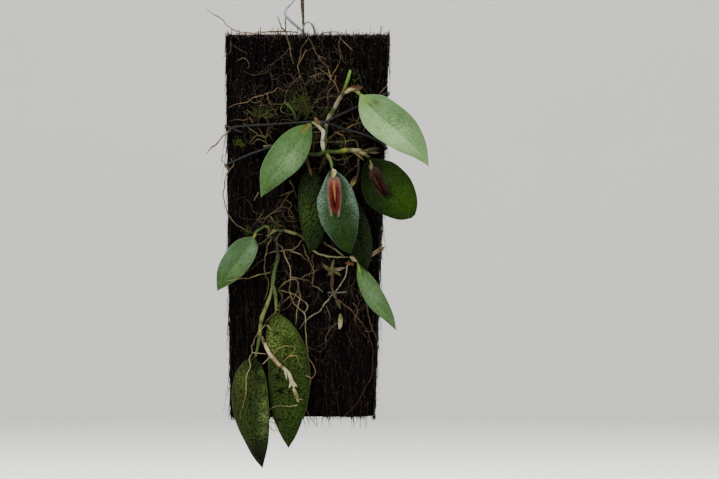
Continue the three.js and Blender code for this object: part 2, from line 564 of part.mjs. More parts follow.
rootSystem('roots_crown', [
  [[10, -77.5], [11.5, -72], [12, -67], [14, -64], [18, -61], [21.5, -60], [25.5, -58], [29.5, -56], [33.5, -54.5]],
  [[18, -61], [23, -64], [24, -67], [23, -71], [22.5, -77.4]],
  [[3, -67.5], [11.8, -66.8], [23, -66.6], [30, -66], [31.4, -72], [32, -80], [29, -83], [24.5, -87], [23, -89.5]],
  [[15.5, -76], [18, -78], [22.5, -77.4], [27, -75.5]],
  [[10.2, -77], [8, -82], [7, -86]],
], { colour: 0x9c9464 });

rootSystem('roots_middle', [
  [[-11, -91], [-9, -95.5], [-7, -102]],
  [[-8.6, -96.6], [-13.5, -102], [-17, -107.5], [-21, -110.5], [-25.5, -113.5], [-27.5, -117], [-28.5, -120]],
  [[-9.4, -97.4], [-13.5, -99], [-17.5, -100.5]],
  [[-24, -112.4], [-19, -118], [-14, -120.2]],
  [[-28.5, -111.6], [-30.5, -115.5], [-27.6, -117.4]],
  [[-14, -102.6], [-10, -106], [-12, -111], [-8, -115]],
  [[-17, -107.5], [-12.5, -108.6], [-9, -111.5]],
]);

rootSystem('root_left_straight', [
  [[-48.4, -60, 0.6], [-50.5, -61.5, 1], [-56, -67, 0], [-61, -71.5, -1], [-63, -74, -1.4]],
], { colour: 0xb4a47c });

rootSystem('roots_left_edge', [
  [[-52.8, -75, 0.6], [-53.6, -78, 0.8], [-51, -81, 0.8], [-48.8, -84.5], [-51, -88], [-52, -94, 0.6], [-52.6, -100, 1], [-50.5, -109.5],
    [-47, -116], [-41.5, -120.5], [-33, -124], [-28, -125]],
  [[-48.8, -84.5], [-46.4, -80.6], [-48, -77]],
]);

rootSystem('roots_lower', [
  [[-31, -131], [-26.5, -128.5], [-22.5, -126], [-19, -129.5], [-15.5, -134.5], [-13, -140.5], [-11, -145], [-10.5, -150.5],
    [-11, -161], [-9, -166], [-6.5, -170], [-2, -174], [-1.5, -179], [-1, -187], [-0.5, -195], [1.4, -203], [4.5, -208], [5, -211],
    [2, -215.5], [1, -220], [-0.5, -227], [-0.5, -234], [1, -238], [6, -244.5]],
  [[-22.5, -126.4], [-25.5, -134], [-27, -143], [-26, -150], [-24.5, -155.5], [-25, -160.5], [-27, -165.5]],
  [[-4, -128.5], [-7.5, -133], [-15.5, -134.8], [-23, -136], [-26, -137]],
  [[-18.5, -159], [-13.5, -154.5], [-8.5, -152.5], [-6, -155], [-6, -159], [-8.6, -165.4]],
  [[-18.5, -159.4], [-13.5, -160.5], [-10, -161.5], [-4.5, -164.5], [-1, -167.5], [0, -170], [-2, -173.6]],
  [[-19, -170], [-15.5, -167], [-10.4, -162.6]],
  [[-11.4, -134.4], [-5, -137], [0.6, -141.4]],
  [[-2.5, -131], [-1, -137], [2, -143], [4, -148], [3, -152.5], [3, -157], [5.5, -157.5], [9.5, -160.5]],
  [[-10.5, -151], [-4.5, -152.5], [0.5, -153.5], [3, -155.4]],
  [[-4, -152.4], [-1.5, -150], [3.6, -148.4], [7.4, -146]],
  [[-6, -155.5], [-4.5, -162], [-6.4, -171], [-6.8, -177], [-7.5, -181]],
  [[26, -141, 1.6], [24.5, -146], [24, -150.5], [21, -155.5], [17, -160.6], [11, -167.5], [7, -173], [2, -176], [-1.6, -179], [-5, -183.5]],
]);

rootSystem('root_over_leaf_7', [
  [[-23.6, -148.4, 5], [-27.5, -149.5, 5], [-31, -150, 8], [-38, -152], [-47, -153], [-51.5, -154]],
], { over: ['leaf_7'], colour: 0xb4a47c });

rootSystem('root_over_leaf_10', [
  [[-18.4, -171.4, 12.6], [-21.5, -174.6], [-24, -177, 12.6], [-27, -181.4], [-29.6, -184.8], [-34, -192.5, 16.6], [-35, -195.5],
    [-34.5, -198], [-36, -202], [-35.5, -207], [-38, -214.5], [-38, -221], [-39.5, -230], [-41.5, -235.5], [-41.5, -239.5]],
  [[-27, -181.4], [-24, -182.4], [-22.5, -184.4]],
], { over: ['leaf_10', 'leaf_9', 'stem_9_and_10'], colour: 0xb4a47c });

rootSystem('roots_on_leaf_9', [
  [[-20.6, -199], [-19, -196], [-16, -194.5], [-12, -194], [-7.6, -195.4], [-11.5, -200.5], [-15, -203.6]],
  [[-11.5, -200.5], [-6.5, -200.5], [-5.5, -204], [-3, -207.5]],
], { over: ['leaf_9', 'old_stem'], radius: 0.55, colour: 0xc0b088 });

rootSystem('root_low_cross', [
  [[-6.6, -231], [-12, -231.6], [-17, -231.2], [-21, -232], [-23.5, -234]],
], { over: ['leaf_9', 'leaf_10'], radius: 0.55, colour: 0xc0b088 });

rootSystem('stolon', [
  [[3.5, -135, 1.6], [9.5, -137.5, 1.4], [17, -139, 1.6], [26, -138.7, 3.2]],
  [[10.5, -129.5], [14, -132], [17, -134], [21, -136.8], [23, -138.6, 2]],
], { colour: 0x8a9a5a });

rootSystem('root_red', [
  [[19.5, -165.5], [26.5, -171.5], [34, -180], [38, -187], [40.5, -195], [41, -204], [39.5, -214], [35.5, -221.5], [31, -229.5],
    [26.5, -235], [20.5, -239.5]],
], { colour: 0x6e3c23 });

rootSystem('root_right_thin', [[[37, -167.5], [38, -175.5], [40.6, -184], [43.4, -190]]], { colour: 0x8a6a44 });
rootSystem('root_bud', [[[18.6, -180], [14, -184], [11.5, -189], [11.5, -194]]], { colour: 0x9c8a60 });

// Slab of tree-fern fibre: sawn flat behind, furrowed by its upright fibres elsewhere

function fernSlab() {
  const columns = { front: 20, side: 4, rear: 4 };
  const rows = 24;
  const random = seededRandom(7);
  const around = 2 * columns.side + columns.front + columns.rear;
  const furrow = Array.from({ length: around }, () => random());
  const drift = Array.from({ length: around * (rows + 1) }, () => random());
  const vertices = [];
  for (let i = 0; i <= rows; i++) {
    const share = i / rows;
    const z = -share * SLAB_HEIGHT;
    const ring = [];
    const [west, east] = [slabEdge(-1, z), slabEdge(1, z)];
    for (let k = 0; k < columns.front; k++) ring.push([west + ((east - west) * k) / columns.front, 0]);
    for (let k = 0; k < columns.side; k++) ring.push([east, (-SLAB_DEPTH * k) / columns.side]);
    for (let k = 0; k < columns.rear; k++) ring.push([east + ((west - east) * k) / columns.rear, -SLAB_DEPTH]);
    for (let k = 0; k < columns.side; k++) ring.push([west, -SLAB_DEPTH + (SLAB_DEPTH * k) / columns.side]);
    ring.forEach(([x, out], k) => {
      const worn = FIBRE_RELIEF * (0.4 * furrow[k] + 0.6 * drift[i * around + k]) ** 2.2;
      const inFront = out > -0.01;
      const behind = out < -SLAB_DEPTH + 0.01;
      const atSide = Math.abs(x - west) < 0.01 || Math.abs(x - east) < 0.01;
      const inward = atSide ? Math.sign(x) * worn * (behind ? 0.4 : 1) : 0;
      const ragged = (i === 0 || i === rows) && !behind ? (drift[k] - 0.5) * RAGGED_END : 0;
      vertices.push(place([x - inward, z + ragged, inFront ? out - worn : out]));
    });
  }
  const faces = [];
  for (let i = 0; i < rows; i++) {
    for (let k = 0; k < around; k++) {
      const a = i * around + k;
      const b = i * around + (k + 1) % around;
      faces.push([a, a + around, b], [b, a + around, b + around]);
    }
  }
  const topCentre = vertices.push(place([0, 0, -SLAB_DEPTH / 2])) - 1;
  const bottomCentre = vertices.push(place([SLAB_LEAN, -SLAB_HEIGHT, -SLAB_DEPTH / 2])) - 1;
  for (let k = 0; k < around; k++) {
    const next = (k + 1) % around;
    faces.push([topCentre, k, next], [bottomCentre, rows * around + next, rows * around + k]);
  }
  return toSolid(closedGeometry(vertices, faces));
}

const slab = fernSlab();
keep('fern_slab', { solid: slab, room: slab }, 0x2c2020, 0.95);

for (const [name, piece] of pieces) {
  const material = new THREE.MeshStandardMaterial({
    color: piece.colour,
    roughness: piece.roughness,
    metalness: piece.metalness,
    flatShading: true,
  });
  const mesh = new THREE.Mesh(toGeometry(piece.solid), material);
  mesh.name = name;
  group.add(mesh);
}

export default group;
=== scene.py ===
"""Looks of a small orchid wired to a hanging slab of tree-fern fibre.

Lengths in the tables are millimetres, and colours are screen colours from 0 to 255. A plan point is
(x from the slab's centre line, z from its top edge), and its third value is how far it stands out in
front of the slab's face.
"""

import math

import bmesh
import bpy
import numpy as np
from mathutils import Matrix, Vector
from mathutils.bvhtree import BVHTree


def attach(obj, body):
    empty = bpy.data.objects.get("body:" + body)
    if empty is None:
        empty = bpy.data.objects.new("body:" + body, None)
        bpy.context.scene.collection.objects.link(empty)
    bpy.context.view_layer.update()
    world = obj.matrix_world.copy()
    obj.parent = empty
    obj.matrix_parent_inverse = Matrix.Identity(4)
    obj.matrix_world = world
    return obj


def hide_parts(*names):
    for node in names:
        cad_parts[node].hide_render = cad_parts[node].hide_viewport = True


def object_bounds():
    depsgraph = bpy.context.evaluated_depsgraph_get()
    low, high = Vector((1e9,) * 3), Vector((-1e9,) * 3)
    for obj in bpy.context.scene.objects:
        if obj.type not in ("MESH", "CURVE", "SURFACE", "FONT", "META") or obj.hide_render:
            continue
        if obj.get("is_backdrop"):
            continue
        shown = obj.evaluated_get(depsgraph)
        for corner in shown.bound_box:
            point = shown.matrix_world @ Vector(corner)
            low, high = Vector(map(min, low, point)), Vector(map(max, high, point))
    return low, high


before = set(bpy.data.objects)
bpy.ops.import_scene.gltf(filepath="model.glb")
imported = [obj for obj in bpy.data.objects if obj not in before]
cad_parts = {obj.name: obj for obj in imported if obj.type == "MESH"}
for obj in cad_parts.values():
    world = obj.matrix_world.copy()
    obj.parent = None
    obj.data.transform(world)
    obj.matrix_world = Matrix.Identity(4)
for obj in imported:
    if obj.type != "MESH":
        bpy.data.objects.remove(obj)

FRAME_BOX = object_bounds()

bl_info = {
    "name": "Orchid on a hanging fern slab",
    "version": (1, 0, 0),
    "blender": (4, 5, 0),
    "location": "View3D > Sidebar > Orchid",
    "description": "Builds the leaves, roots, flowers, fibres and wires over the packed part",
    "category": "Object",
}


def srgb(red, green, blue):
    """A screen colour from 0 to 255 as the linear colour that Blender works in."""
    return tuple(
        c / 12.92 if c < 0.04045 else ((c + 0.055) / 1.055) ** 2.4
        for c in (red / 255, green / 255, blue / 255)
    )


def colour(name, description, default):
    return bpy.props.FloatVectorProperty(
        name=name, description=description, default=srgb(*default), subtype="COLOR", size=3, min=0, max=1
    )


def length(name, description, default):
    return bpy.props.FloatProperty(
        name=name, description=description, default=default, min=0, subtype="DISTANCE", unit="LENGTH"
    )


# Settings that a user would change


class OrchidSlabLook(bpy.types.PropertyGroup):
    core: colour("Core", "Colour deep between the fibres", (7, 5, 5))
    dark_fibre: colour("Dark fibre", "Colour of the darkest fibres", (11, 8, 8))
    pale_fibre: colour("Pale fibre", "Colour of the palest fibres on the faces", (50, 40, 35))
    edge_fibre: colour("Edge fibre", "Colour of the worn fibres along the top edge", (96, 80, 74))
    fibre_radius: length("Fibre radius", "Radius of a fibre on the slab's faces", 0.00022)
    fibres: bpy.props.IntProperty(
        name="Fibres", description="How many fibres lie on the front face", default=2300, min=100, max=4000
    )


class OrchidLeafLook(bpy.types.PropertyGroup):
    leaf_pale: colour("Pale leaf", "Colour of the smooth sage leaves", (92, 122, 76))
    leaf_green: colour("Green leaf", "Colour of the blue-green and olive leaves", (42, 60, 22))
    leaf_dark: colour("Dark leaf", "Colour of the dark netted leaves", (32, 46, 16))
    underside: colour("Underside", "Colour of the back of every leaf", (78, 92, 54))
    net_height: length("Net height", "Height of the raised net on the netted leaves", 0.0013)


class OrchidFlowerLook(bpy.types.PropertyGroup):
    sepals: colour("Sepals", "Colour of the hairy sepals", (96, 8, 16))
    lip: colour("Lip", "Colour of the stripe between the sepals", (218, 152, 88))
    hair: colour("Hair", "Colour of the hairs", (190, 162, 144))
    hair_length: length("Hair length", "Length of the longest hairs", 0.002)


class OrchidRootLook(bpy.types.PropertyGroup):
    root: colour("Root", "Colour of the living roots", (96, 80, 54))
    root_red: colour("Red root", "Colour of the red-brown root", (66, 30, 18))
    rootlet_radius: length("Rootlet radius", "Radius of the fine rootlets", 0.00024)
    rootlets: bpy.props.IntProperty(
        name="Rootlets", description="Loose rootlets, shared among the tangles", default=330, min=0, max=800
    )


class OrchidWireLook(bpy.types.PropertyGroup):
    galvanised: colour("Hanger", "Colour of the galvanised hanger", (182, 187, 192))
    tie: colour("Tie", "Colour of the tie wire's coating", (15, 19, 14))
    staple: colour("Staple", "Colour of the staple", (96, 98, 94))


class OrchidStageLook(bpy.types.PropertyGroup):
    floor: colour("Floor", "Colour of the floor and the backdrop", (226, 225, 221))
    floor_drop: length("Floor drop", "How far the floor is below the hanging point", 0.45)
    key_power: bpy.props.FloatProperty(
        name="Key light", description="Power of the soft key light", default=44, min=0, unit="POWER"
    )


def group(look, name, description):
    return bpy.props.PointerProperty(type=look, name=name, description=description)


class OrchidSettings(bpy.types.PropertyGroup):
    slab: group(OrchidSlabLook, "Slab", "Fibre slab")
    leaf: group(OrchidLeafLook, "Leaves", "Leaf blades")
    flower: group(OrchidFlowerLook, "Flowers", "Hairy flowers")
    root: group(OrchidRootLook, "Roots", "Roots and rootlets")
    wire: group(OrchidWireLook, "Wires", "Hanger, tie and staple")
    stage: group(OrchidStageLook, "Stage", "Floor and light")


# Places, splines and noise. The frame's origin is the hanging point: FACE_Y is where the slab's face is,
# and HANG_HEIGHT is how far the slab's top edge is below it.

MM = 0.001
FACE_Y = -10
HANG_HEIGHT = 70
SLAB_TOP_WIDTH = 102
SLAB_BOTTOM_WIDTH = 90
SLAB_LEAN = -3.2
SLAB_HEIGHT = 238
SLAB_DEPTH = 28
NOISE_SEED = 11
NOISE_TABLE = np.random.default_rng(NOISE_SEED).random((256, 256))
SPLINE_STEPS = 24


def place(points):
    """Plan points as places in the frame, still in millimetres."""
    p = np.array([(*point, 0)[:3] for point in points], float)
    return xyz(p[:, 0], FACE_Y - p[:, 2], p[:, 1] - HANG_HEIGHT)


def xyz(x, y, z):
    """Three lists of values as one list of places or directions."""
    return np.stack([x, y, z], axis=1)


def smooth(values, share):
    """Values spread evenly from share 0 to 1, eased from each to the next."""
    values = np.asarray(values, float)
    at = np.asarray(share) * (len(values) - 1)
    low = np.clip(np.floor(at), 0, len(values) - 2).astype(int)
    t = at - low
    return values[low] + (values[low + 1] - values[low]) * t * t * (3 - 2 * t)


def unit(vectors):
    """The vectors' directions, each of length 1."""
    return vectors / np.maximum(np.linalg.norm(vectors, axis=-1, keepdims=True), 1e-9)


def spline(points, shares):
    """Places at shares of the length of a centripetal spline through the points."""
    p = np.asarray(points, float)
    p = np.vstack([2 * p[0] - p[1], p, 2 * p[-1] - p[-2]])
    gaps = np.maximum(np.linalg.norm(np.diff(p, axis=0), axis=1), 1e-4) ** 0.5
    t = np.arange(SPLINE_STEPS) / SPLINE_STEPS
    powers = np.stack([t**0, t, t**2, t**3], axis=1)
    stretches = []
    for i in range(1, len(p) - 2):
        before, here, after = gaps[i - 1 : i + 2]
        lead = (p[i] - p[i - 1]) / before - (p[i + 1] - p[i - 1]) / (before + here)
        lead = here * lead + p[i + 1] - p[i]
        trail = (p[i + 2] - p[i + 1]) / after - (p[i + 2] - p[i]) / (here + after)
        trail = here * trail + p[i + 1] - p[i]
        step = p[i + 1] - p[i]
        cubic = [p[i], lead, 3 * step - 2 * lead - trail, lead + trail - 2 * step]
        stretches.append(powers @ np.array(cubic))
    line = np.vstack([*stretches, p[-2]])
    travelled = np.concatenate([[0], np.cumsum(np.linalg.norm(np.diff(line, axis=0), axis=1))])
    at = np.asarray(shares) * travelled[-1]
    return np.stack([np.interp(at, travelled, line[:, k]) for k in range(p.shape[1])], axis=1)


def ripple(x, y):
    """Smooth noise from 0 to 1 over a plane."""
    xi, yi = np.floor(x).astype(int), np.floor(y).astype(int)
    fx, fy = x - xi, y - yi
    fx, fy = fx * fx * (3 - 2 * fx), fy * fy * (3 - 2 * fy)
    corner = lambda i, j: NOISE_TABLE[(xi + i) & 255, (yi + j) & 255]
    low = corner(0, 0) * (1 - fx) + corner(1, 0) * fx
    high = corner(0, 1) * (1 - fx) + corner(1, 1) * fx
    return low * (1 - fy) + high * fy


def net(x, y):
    """0 on the lines between irregular cells of unit size, rising to a dome of 1 inside each."""
    xi, yi = np.floor(x).astype(int), np.floor(y).astype(int)
    nearest = np.full(np.shape(x), 9.0)
    second = nearest.copy()
    for i in (-1, 0, 1):
        for j in (-1, 0, 1):
            cx, cy = xi + i, yi + j
            east = cx + NOISE_TABLE[cx & 255, cy & 255] - x
            north = cy + NOISE_TABLE[cy & 255, (cx + 97) & 255] - y
            gap = np.hypot(east, north)
            second = np.minimum(second, np.maximum(gap, nearest))
            nearest = np.minimum(nearest, gap)
    dome = np.clip(1 - (nearest / 0.75) ** 2, 0, 1)
    return 0.35 * (1 - np.exp(-4 * (second - nearest))) + 0.65 * dome


def slab_edge(side, z):
    """How far across the slab's left (-1) or right (1) edge is at heights z."""
    share = -np.asarray(z, float) / SLAB_HEIGHT
    half = (SLAB_TOP_WIDTH + (SLAB_BOTTOM_WIDTH - SLAB_TOP_WIDTH) * share) / 2
    return SLAB_LEAN * share + side * half


# Meshes

WHITE = (255, 255, 255)
CAP = np.radians([88, 62, 32])
STRAND_SIDES = 3


class Shape:
    """Points in millimetres, their four-sided faces, and values and a colour for each point."""

    def __init__(self, points, quads, paint=(1, 1, 1), **values):
        self.points = np.asarray(points, float).reshape(-1, 3)
        self.quads = np.asarray(quads, int).reshape(-1, 4)
        count = len(self.points)
        self.paint = np.broadcast_to(np.asarray(paint, float).reshape(-1, 3), (count, 3))
        self.values = {key: np.broadcast_to(np.ravel(value), count) for key, value in values.items()}


def joined(shapes):
    """Several shapes as one."""
    offsets = np.cumsum([0] + [len(shape.points) for shape in shapes[:-1]])
    keys = shapes[0].values
    return Shape(
        np.vstack([shape.points for shape in shapes]),
        np.vstack([shape.quads + offset for shape, offset in zip(shapes, offsets)]),
        np.vstack([shape.paint for shape in shapes]),
        **{key: np.concatenate([shape.values[key] for shape in shapes]) for key in keys},
    )


def ring_quads(rows, around):
    """Faces between rows + 1 closed rings of points."""
    i, k = np.meshgrid(np.arange(rows), np.arange(around), indexing="ij")
    a, b = i * around + k, i * around + (k + 1) % around
    return np.stack([a, a + around, b + around, b], axis=-1).reshape(-1, 4)


def new_piece(name, shape, material, nodes=()):
    """One object that rides on the part, and stands for the CAD nodes named."""
    mesh = bpy.data.meshes.new(name)
    mesh.from_pydata((shape.points * MM).tolist(), [], shape.quads.tolist())
    mesh.polygons.foreach_set("use_smooth", np.ones(len(mesh.polygons), bool))
    rgba = np.ones((len(shape.points), 4))
    rgba[:, :3] = shape.paint
    mesh.attributes.new("paint", "FLOAT_COLOR", "POINT").data.foreach_set("color", rgba.ravel())
    for key, value in shape.values.items():
        mesh.attributes.new(key, "FLOAT", "POINT").data.foreach_set("value", np.array(value, float))
    mesh.materials.append(material)
    mesh.update()
    piece = bpy.data.objects.new(name, mesh)
    bpy.context.scene.collection.objects.link(piece)
    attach(piece, "root")
    if nodes:
        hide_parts(*nodes)


def stops(shares, table):
    """Colours at shares, eased between the (share, screen colour) pairs of a table."""
    at = [share for share, _ in table]
    colours = np.array([srgb(*value) for _, value in table])
    return np.stack([np.interp(shares, at, colours[:, k]) for k in range(3)], axis=-1)


def plain(tint):
    """A (share, colour) table that is one colour all along."""
    return [(0, tint), (1, tint)]


def blended(paint, tint, share):
    """Linear paint with a screen colour laid over it by share."""
    return paint * (1 - share) + np.array(srgb(*tint)) * share


def carried(tangents):
    """A direction square to each tangent, which turns as little as it can along the line."""
    side = np.cross(tangents[0], (0.3, 0.9, 0.2))
    sides = []
    for tangent in tangents:
        side = unit(side - tangent * side.dot(tangent))
        sides.append(side)
    return np.array(sides)


def spokes(tangents, sides):
    """Directions out to the sides of a rod, round each point of its line."""
    side = carried(tangents)
    angle = np.linspace(0, 2 * math.pi, sides, endpoint=False)[None, :, None]
    return np.cos(angle) * side[:, None] + np.sin(angle) * np.cross(tangents, side)[:, None]


def shrunk(ring, shares):
    """Copies of an end ring, drawn in towards its middle to close a shape."""
    middle = ring.mean(axis=0)
    return [middle + (ring - middle) * share for share in shares]


def rod(points, radii, table, sides=10, step=0.9, lumps=0.06):
    """A round rod with rounded ends along a spline, coloured by its (share, colour) table."""
    chords = np.linalg.norm(np.diff(np.asarray(points), axis=0), axis=1).sum()
    shares = np.linspace(0, 1, max(5, round(chords / step)) + 1)
    line = spline(points, shares)
    radius = smooth(radii, shares)
    tangent = unit(np.gradient(line, axis=0))
    first = line[0] - np.outer(np.sin(CAP) * radius[0], tangent[0])
    last = line[-1] + np.outer(np.sin(CAP[::-1]) * radius[-1], tangent[-1])
    line = np.vstack([first, line, last])
    radius = np.concatenate([np.cos(CAP) * radius[0], radius, np.cos(CAP[::-1]) * radius[-1]])
    tangent = np.pad(tangent, ((len(CAP), len(CAP)), (0, 0)), mode="edge")
    shares = np.pad(shares, len(CAP), mode="edge")
    spoke = spokes(tangent, sides)
    x, y, z = (line[:, None, k] for k in range(3))
    uneven = ripple(x * 0.9 + spoke[..., 0] * 1.7 + y, z * 0.9 + spoke[..., 1] * 1.7)
    reach = radius[:, None] * (1 + lumps * 2 * (uneven - 0.5))
    rings = line[:, None] + spoke * reach[..., None]
    paint = np.repeat(stops(shares, table), sides, axis=0)
    return Shape(rings, ring_quads(len(line) - 1, sides), paint)


def strands(starts, directions, lengths, radii, paint, random, bend=0.25, steps=5, taper=0.35):
    """Many thin tapering strands at once, each bent a little to one side."""
    count = len(starts)
    direction = unit(np.asarray(directions, float))
    lengths, radii = np.broadcast_to(lengths, count), np.broadcast_to(radii, count)
    side = unit(np.cross(direction, unit(random.normal(size=(count, 3)))))
    up = np.cross(direction, side)
    t = np.linspace(0, 1, steps + 1)
    sway = bend * random.normal(size=(count, 1)) * t**2
    wobble = 0.25 * bend * random.normal(size=(count, 1))
    sway = sway + wobble * np.sin(2 * math.pi * t + 6 * random.random((count, 1)))
    lean = bend * random.normal(size=(count, 1)) * t**2
    path = t[None, :, None] * direction[:, None]
    path = path + sway[..., None] * side[:, None] + lean[..., None] * up[:, None]
    line = starts[:, None] + lengths[:, None, None] * path
    angle = np.linspace(0, 2 * math.pi, STRAND_SIDES, endpoint=False)[None, :, None]
    spoke = np.cos(angle) * side[:, None] + np.sin(angle) * up[:, None]
    width = radii[:, None] * (1 - (1 - taper) * t[None] ** 1.5)
    points = line[:, :, None] + spoke[:, None] * width[..., None, None]
    each = (steps + 1) * STRAND_SIDES
    quads = ring_quads(steps, STRAND_SIDES)[None] + (np.arange(count) * each)[:, None, None]
    colours = np.repeat(np.broadcast_to(paint, (count, 3)), each, axis=0)
    return Shape(points, quads, colours)


# How a solid's mesh is softened: gap that is welded, angles at which triangles join, rounds of smoothing
WELD = 2e-6
JOIN_FACES = 0.9
JOIN_CORNERS = 1.2
ROUNDS = 2


def softened(node, table, swell, rough):
    """A rounder copy of a solid's own mesh, swollen by swell and uneven by rough."""
    work = bmesh.new()
    work.from_mesh(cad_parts[node].data)
    bmesh.ops.remove_doubles(work, verts=work.verts, dist=WELD)
    bmesh.ops.join_triangles(
        work, faces=work.faces, angle_face_threshold=JOIN_FACES, angle_shape_threshold=JOIN_CORNERS
    )
    mesh = bpy.data.meshes.new("work")
    work.to_mesh(mesh)
    work.free()
    holder = bpy.data.objects.new("work", mesh)
    bpy.context.scene.collection.objects.link(holder)
    rounder = holder.modifiers.new("rounder", "SUBSURF")
    rounder.levels = ROUNDS
    bpy.context.view_layer.update()
    fine = holder.evaluated_get(bpy.context.evaluated_depsgraph_get()).to_mesh()
    points = np.array([v.co for v in fine.vertices]) / MM
    normals = np.array([v.normal for v in fine.vertices])
    quads = np.array([tuple(face.vertices) for face in fine.polygons])
    holder.to_mesh_clear()
    bpy.data.objects.remove(holder)
    uneven = ripple(points[:, 0] * 1.3 + points[:, 1] * 0.7, points[:, 2] * 1.3 - points[:, 1] * 0.4)
    points = points + normals * (swell + rough * 2 * (uneven - 0.5))[:, None]
    return Shape(points, quads, patched(points, table))


def patch_share(dx, dz, radius, power):
    """1 in the middle of a patch and 0 outside it, with an uneven rim."""
    uneven = 0.6 + 0.8 * ripple(dx * 1.1 + 50, dz * 1.1 + radius)
    return np.exp(-((np.hypot(dx, dz) * uneven / radius) ** power))[..., None]


def patched(points, table):
    """A base colour with soft round patches: (base), (x, z, radius, colour), ... in plan places."""
    paint = np.repeat([srgb(*table[0])], len(points), axis=0)
    for x, z, radius, tint in table[1:]:
        share = patch_share(points[:, 0] - x, points[:, 2] + HANG_HEIGHT - z, radius, 4)
        paint = blended(paint, tint, share)
    return paint


IN_FRONT = -0.2
TREES = {}


def surface_out(node, x, z):
    """How far out the front of a solid stands at a plan point, or 0 beside it."""
    if node not in TREES:
        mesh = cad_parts[node].data
        faces = [tuple(face.vertices) for face in mesh.polygons]
        TREES[node] = BVHTree.FromPolygons([v.co for v in mesh.vertices], faces)
    hit = TREES[node].ray_cast(Vector((x * MM, IN_FRONT, (z - HANG_HEIGHT) * MM)), Vector((0, 1, 0)))[0]
    return FACE_Y - hit.y / MM if hit else 0.0


# Materials

# Plant finishes: roughness, share of streaks, dark streaks, pale scuffs, how fine the grain is, gloss
FINISHES = {
    "fern fibre": (0.85, 0.5, (5, 4, 4), (112, 90, 78), 620, 0.08),
    "stem skin": (0.5, 0.22, (48, 56, 26), (206, 204, 150), 800, 0.25),
    "papery sheath": (0.7, 0.4, (84, 60, 38), (216, 202, 162), 1100, 0.25),
    "fresh shoot": (0.42, 0.15, (84, 124, 40), (206, 226, 140), 900, 0.25),
    "sepal flesh": (0.65, 0.2, (24, 2, 6), (120, 44, 40), 1400, 0.04),
    "lip flesh": (0.7, 0.12, (110, 50, 30), (230, 190, 140), 1500, 0.04),
    "flower hair": (0.8, 0.12, (120, 84, 74), (226, 206, 196), 1500, 0.05),
    "flower bract": (0.7, 0.6, (84, 56, 32), (226, 210, 160), 1300, 0.25),
    "old papery skin": (0.72, 0.45, (88, 64, 42), (222, 208, 168), 1000, 0.25),
    "root skin": (0.7, 0.45, (44, 34, 22), (190, 174, 136), 1000, 0.25),
    "red root skin": (0.65, 0.45, (40, 18, 12), (150, 94, 66), 1000, 0.25),
    "moss": (0.8, 0.3, (12, 22, 6), (96, 118, 44), 1200, 0.25),
}


class Recipe:
    """A material whose nodes are added one call at a time. Each call returns its output socket."""

    def __init__(self, name, roughness, **settings):
        self.material = bpy.data.materials.new(name)
        self.material.use_nodes = True
        self.tree = self.material.node_tree
        self.shader = self.tree.nodes["Principled BSDF"]
        self.shader.inputs["Roughness"].default_value = roughness
        for key, value in settings.items():
            self.shader.inputs[key.replace("_", " ")].default_value = value
        self.place = self.tree.nodes.new("ShaderNodeTexCoord").outputs["Object"]

    def node(self, kind, output=0, settings=(), **inputs):
        node = self.tree.nodes.new(kind)
        for key, value in dict(settings).items():
            setattr(node, key, value)
        for key, value in inputs.items():
            socket = node.inputs[int(key[1:])] if key[0] == "i" and key[1:].isdigit() else node.inputs[key]
            self.feed(socket, value)
        return node.outputs[output]

    def feed(self, socket, value):
        if isinstance(value, bpy.types.NodeSocket):
            self.tree.links.new(value, socket)
        else:
            socket.default_value = value

    def value(self, name):
        return self.node("ShaderNodeAttribute", "Fac", {"attribute_name": name})

    def paint(self):
        return self.node("ShaderNodeAttribute", "Color", {"attribute_name": "paint"})

    def math(self, operation, a, b=0.0):
        return self.node("ShaderNodeMath", 0, {"operation": operation}, i0=a, i1=b)

    def noise(self, scale, detail, stretch=(1, 1, 1)):
        """Fine noise whose scale counts its features in a metre."""
        at = self.node("ShaderNodeMapping", 0, i0=self.place, i3=stretch)
        return self.node("ShaderNodeTexNoise", 0, Vector=at, Scale=scale, Detail=detail, Roughness=0.55)

    def dots(self, scale, size):
        """1 in small round dots, one in each cell of the pattern, and 0 between them."""
        gap = self.node("ShaderNodeTexVoronoi", "Distance", Vector=self.place, Scale=scale)
        return self.span(gap, size, size * 1.5, 1.0, 0.0)

    def span(self, value, low, high, start=0.0, end=1.0):
        """The stretch of a value from low to high, as start to end."""
        return self.node("ShaderNodeMapRange", 0, i0=value, i1=low, i2=high, i3=start, i4=end)

    def mix(self, share, a, b, blend="MIX"):
        node = self.tree.nodes.new("ShaderNodeMix")
        node.data_type = "RGBA"
        node.blend_type = blend
        self.feed(node.inputs[0], share)
        for socket, value in ((node.inputs[6], a), (node.inputs[7], b)):
            self.feed(socket, (*value, 1) if isinstance(value, tuple) else value)
        return node.outputs[2]

    def bump(self, height, strength, distance):
        normal = self.node("ShaderNodeBump", 0, Height=height, Strength=strength, Distance=distance * MM)
        self.feed(self.shader.inputs["Normal"], normal)

    def finish(self, colour, roughness=None):
        self.feed(self.shader.inputs["Base Color"], colour)
        if roughness is not None:
            self.feed(self.shader.inputs["Roughness"], roughness)
        return self.material


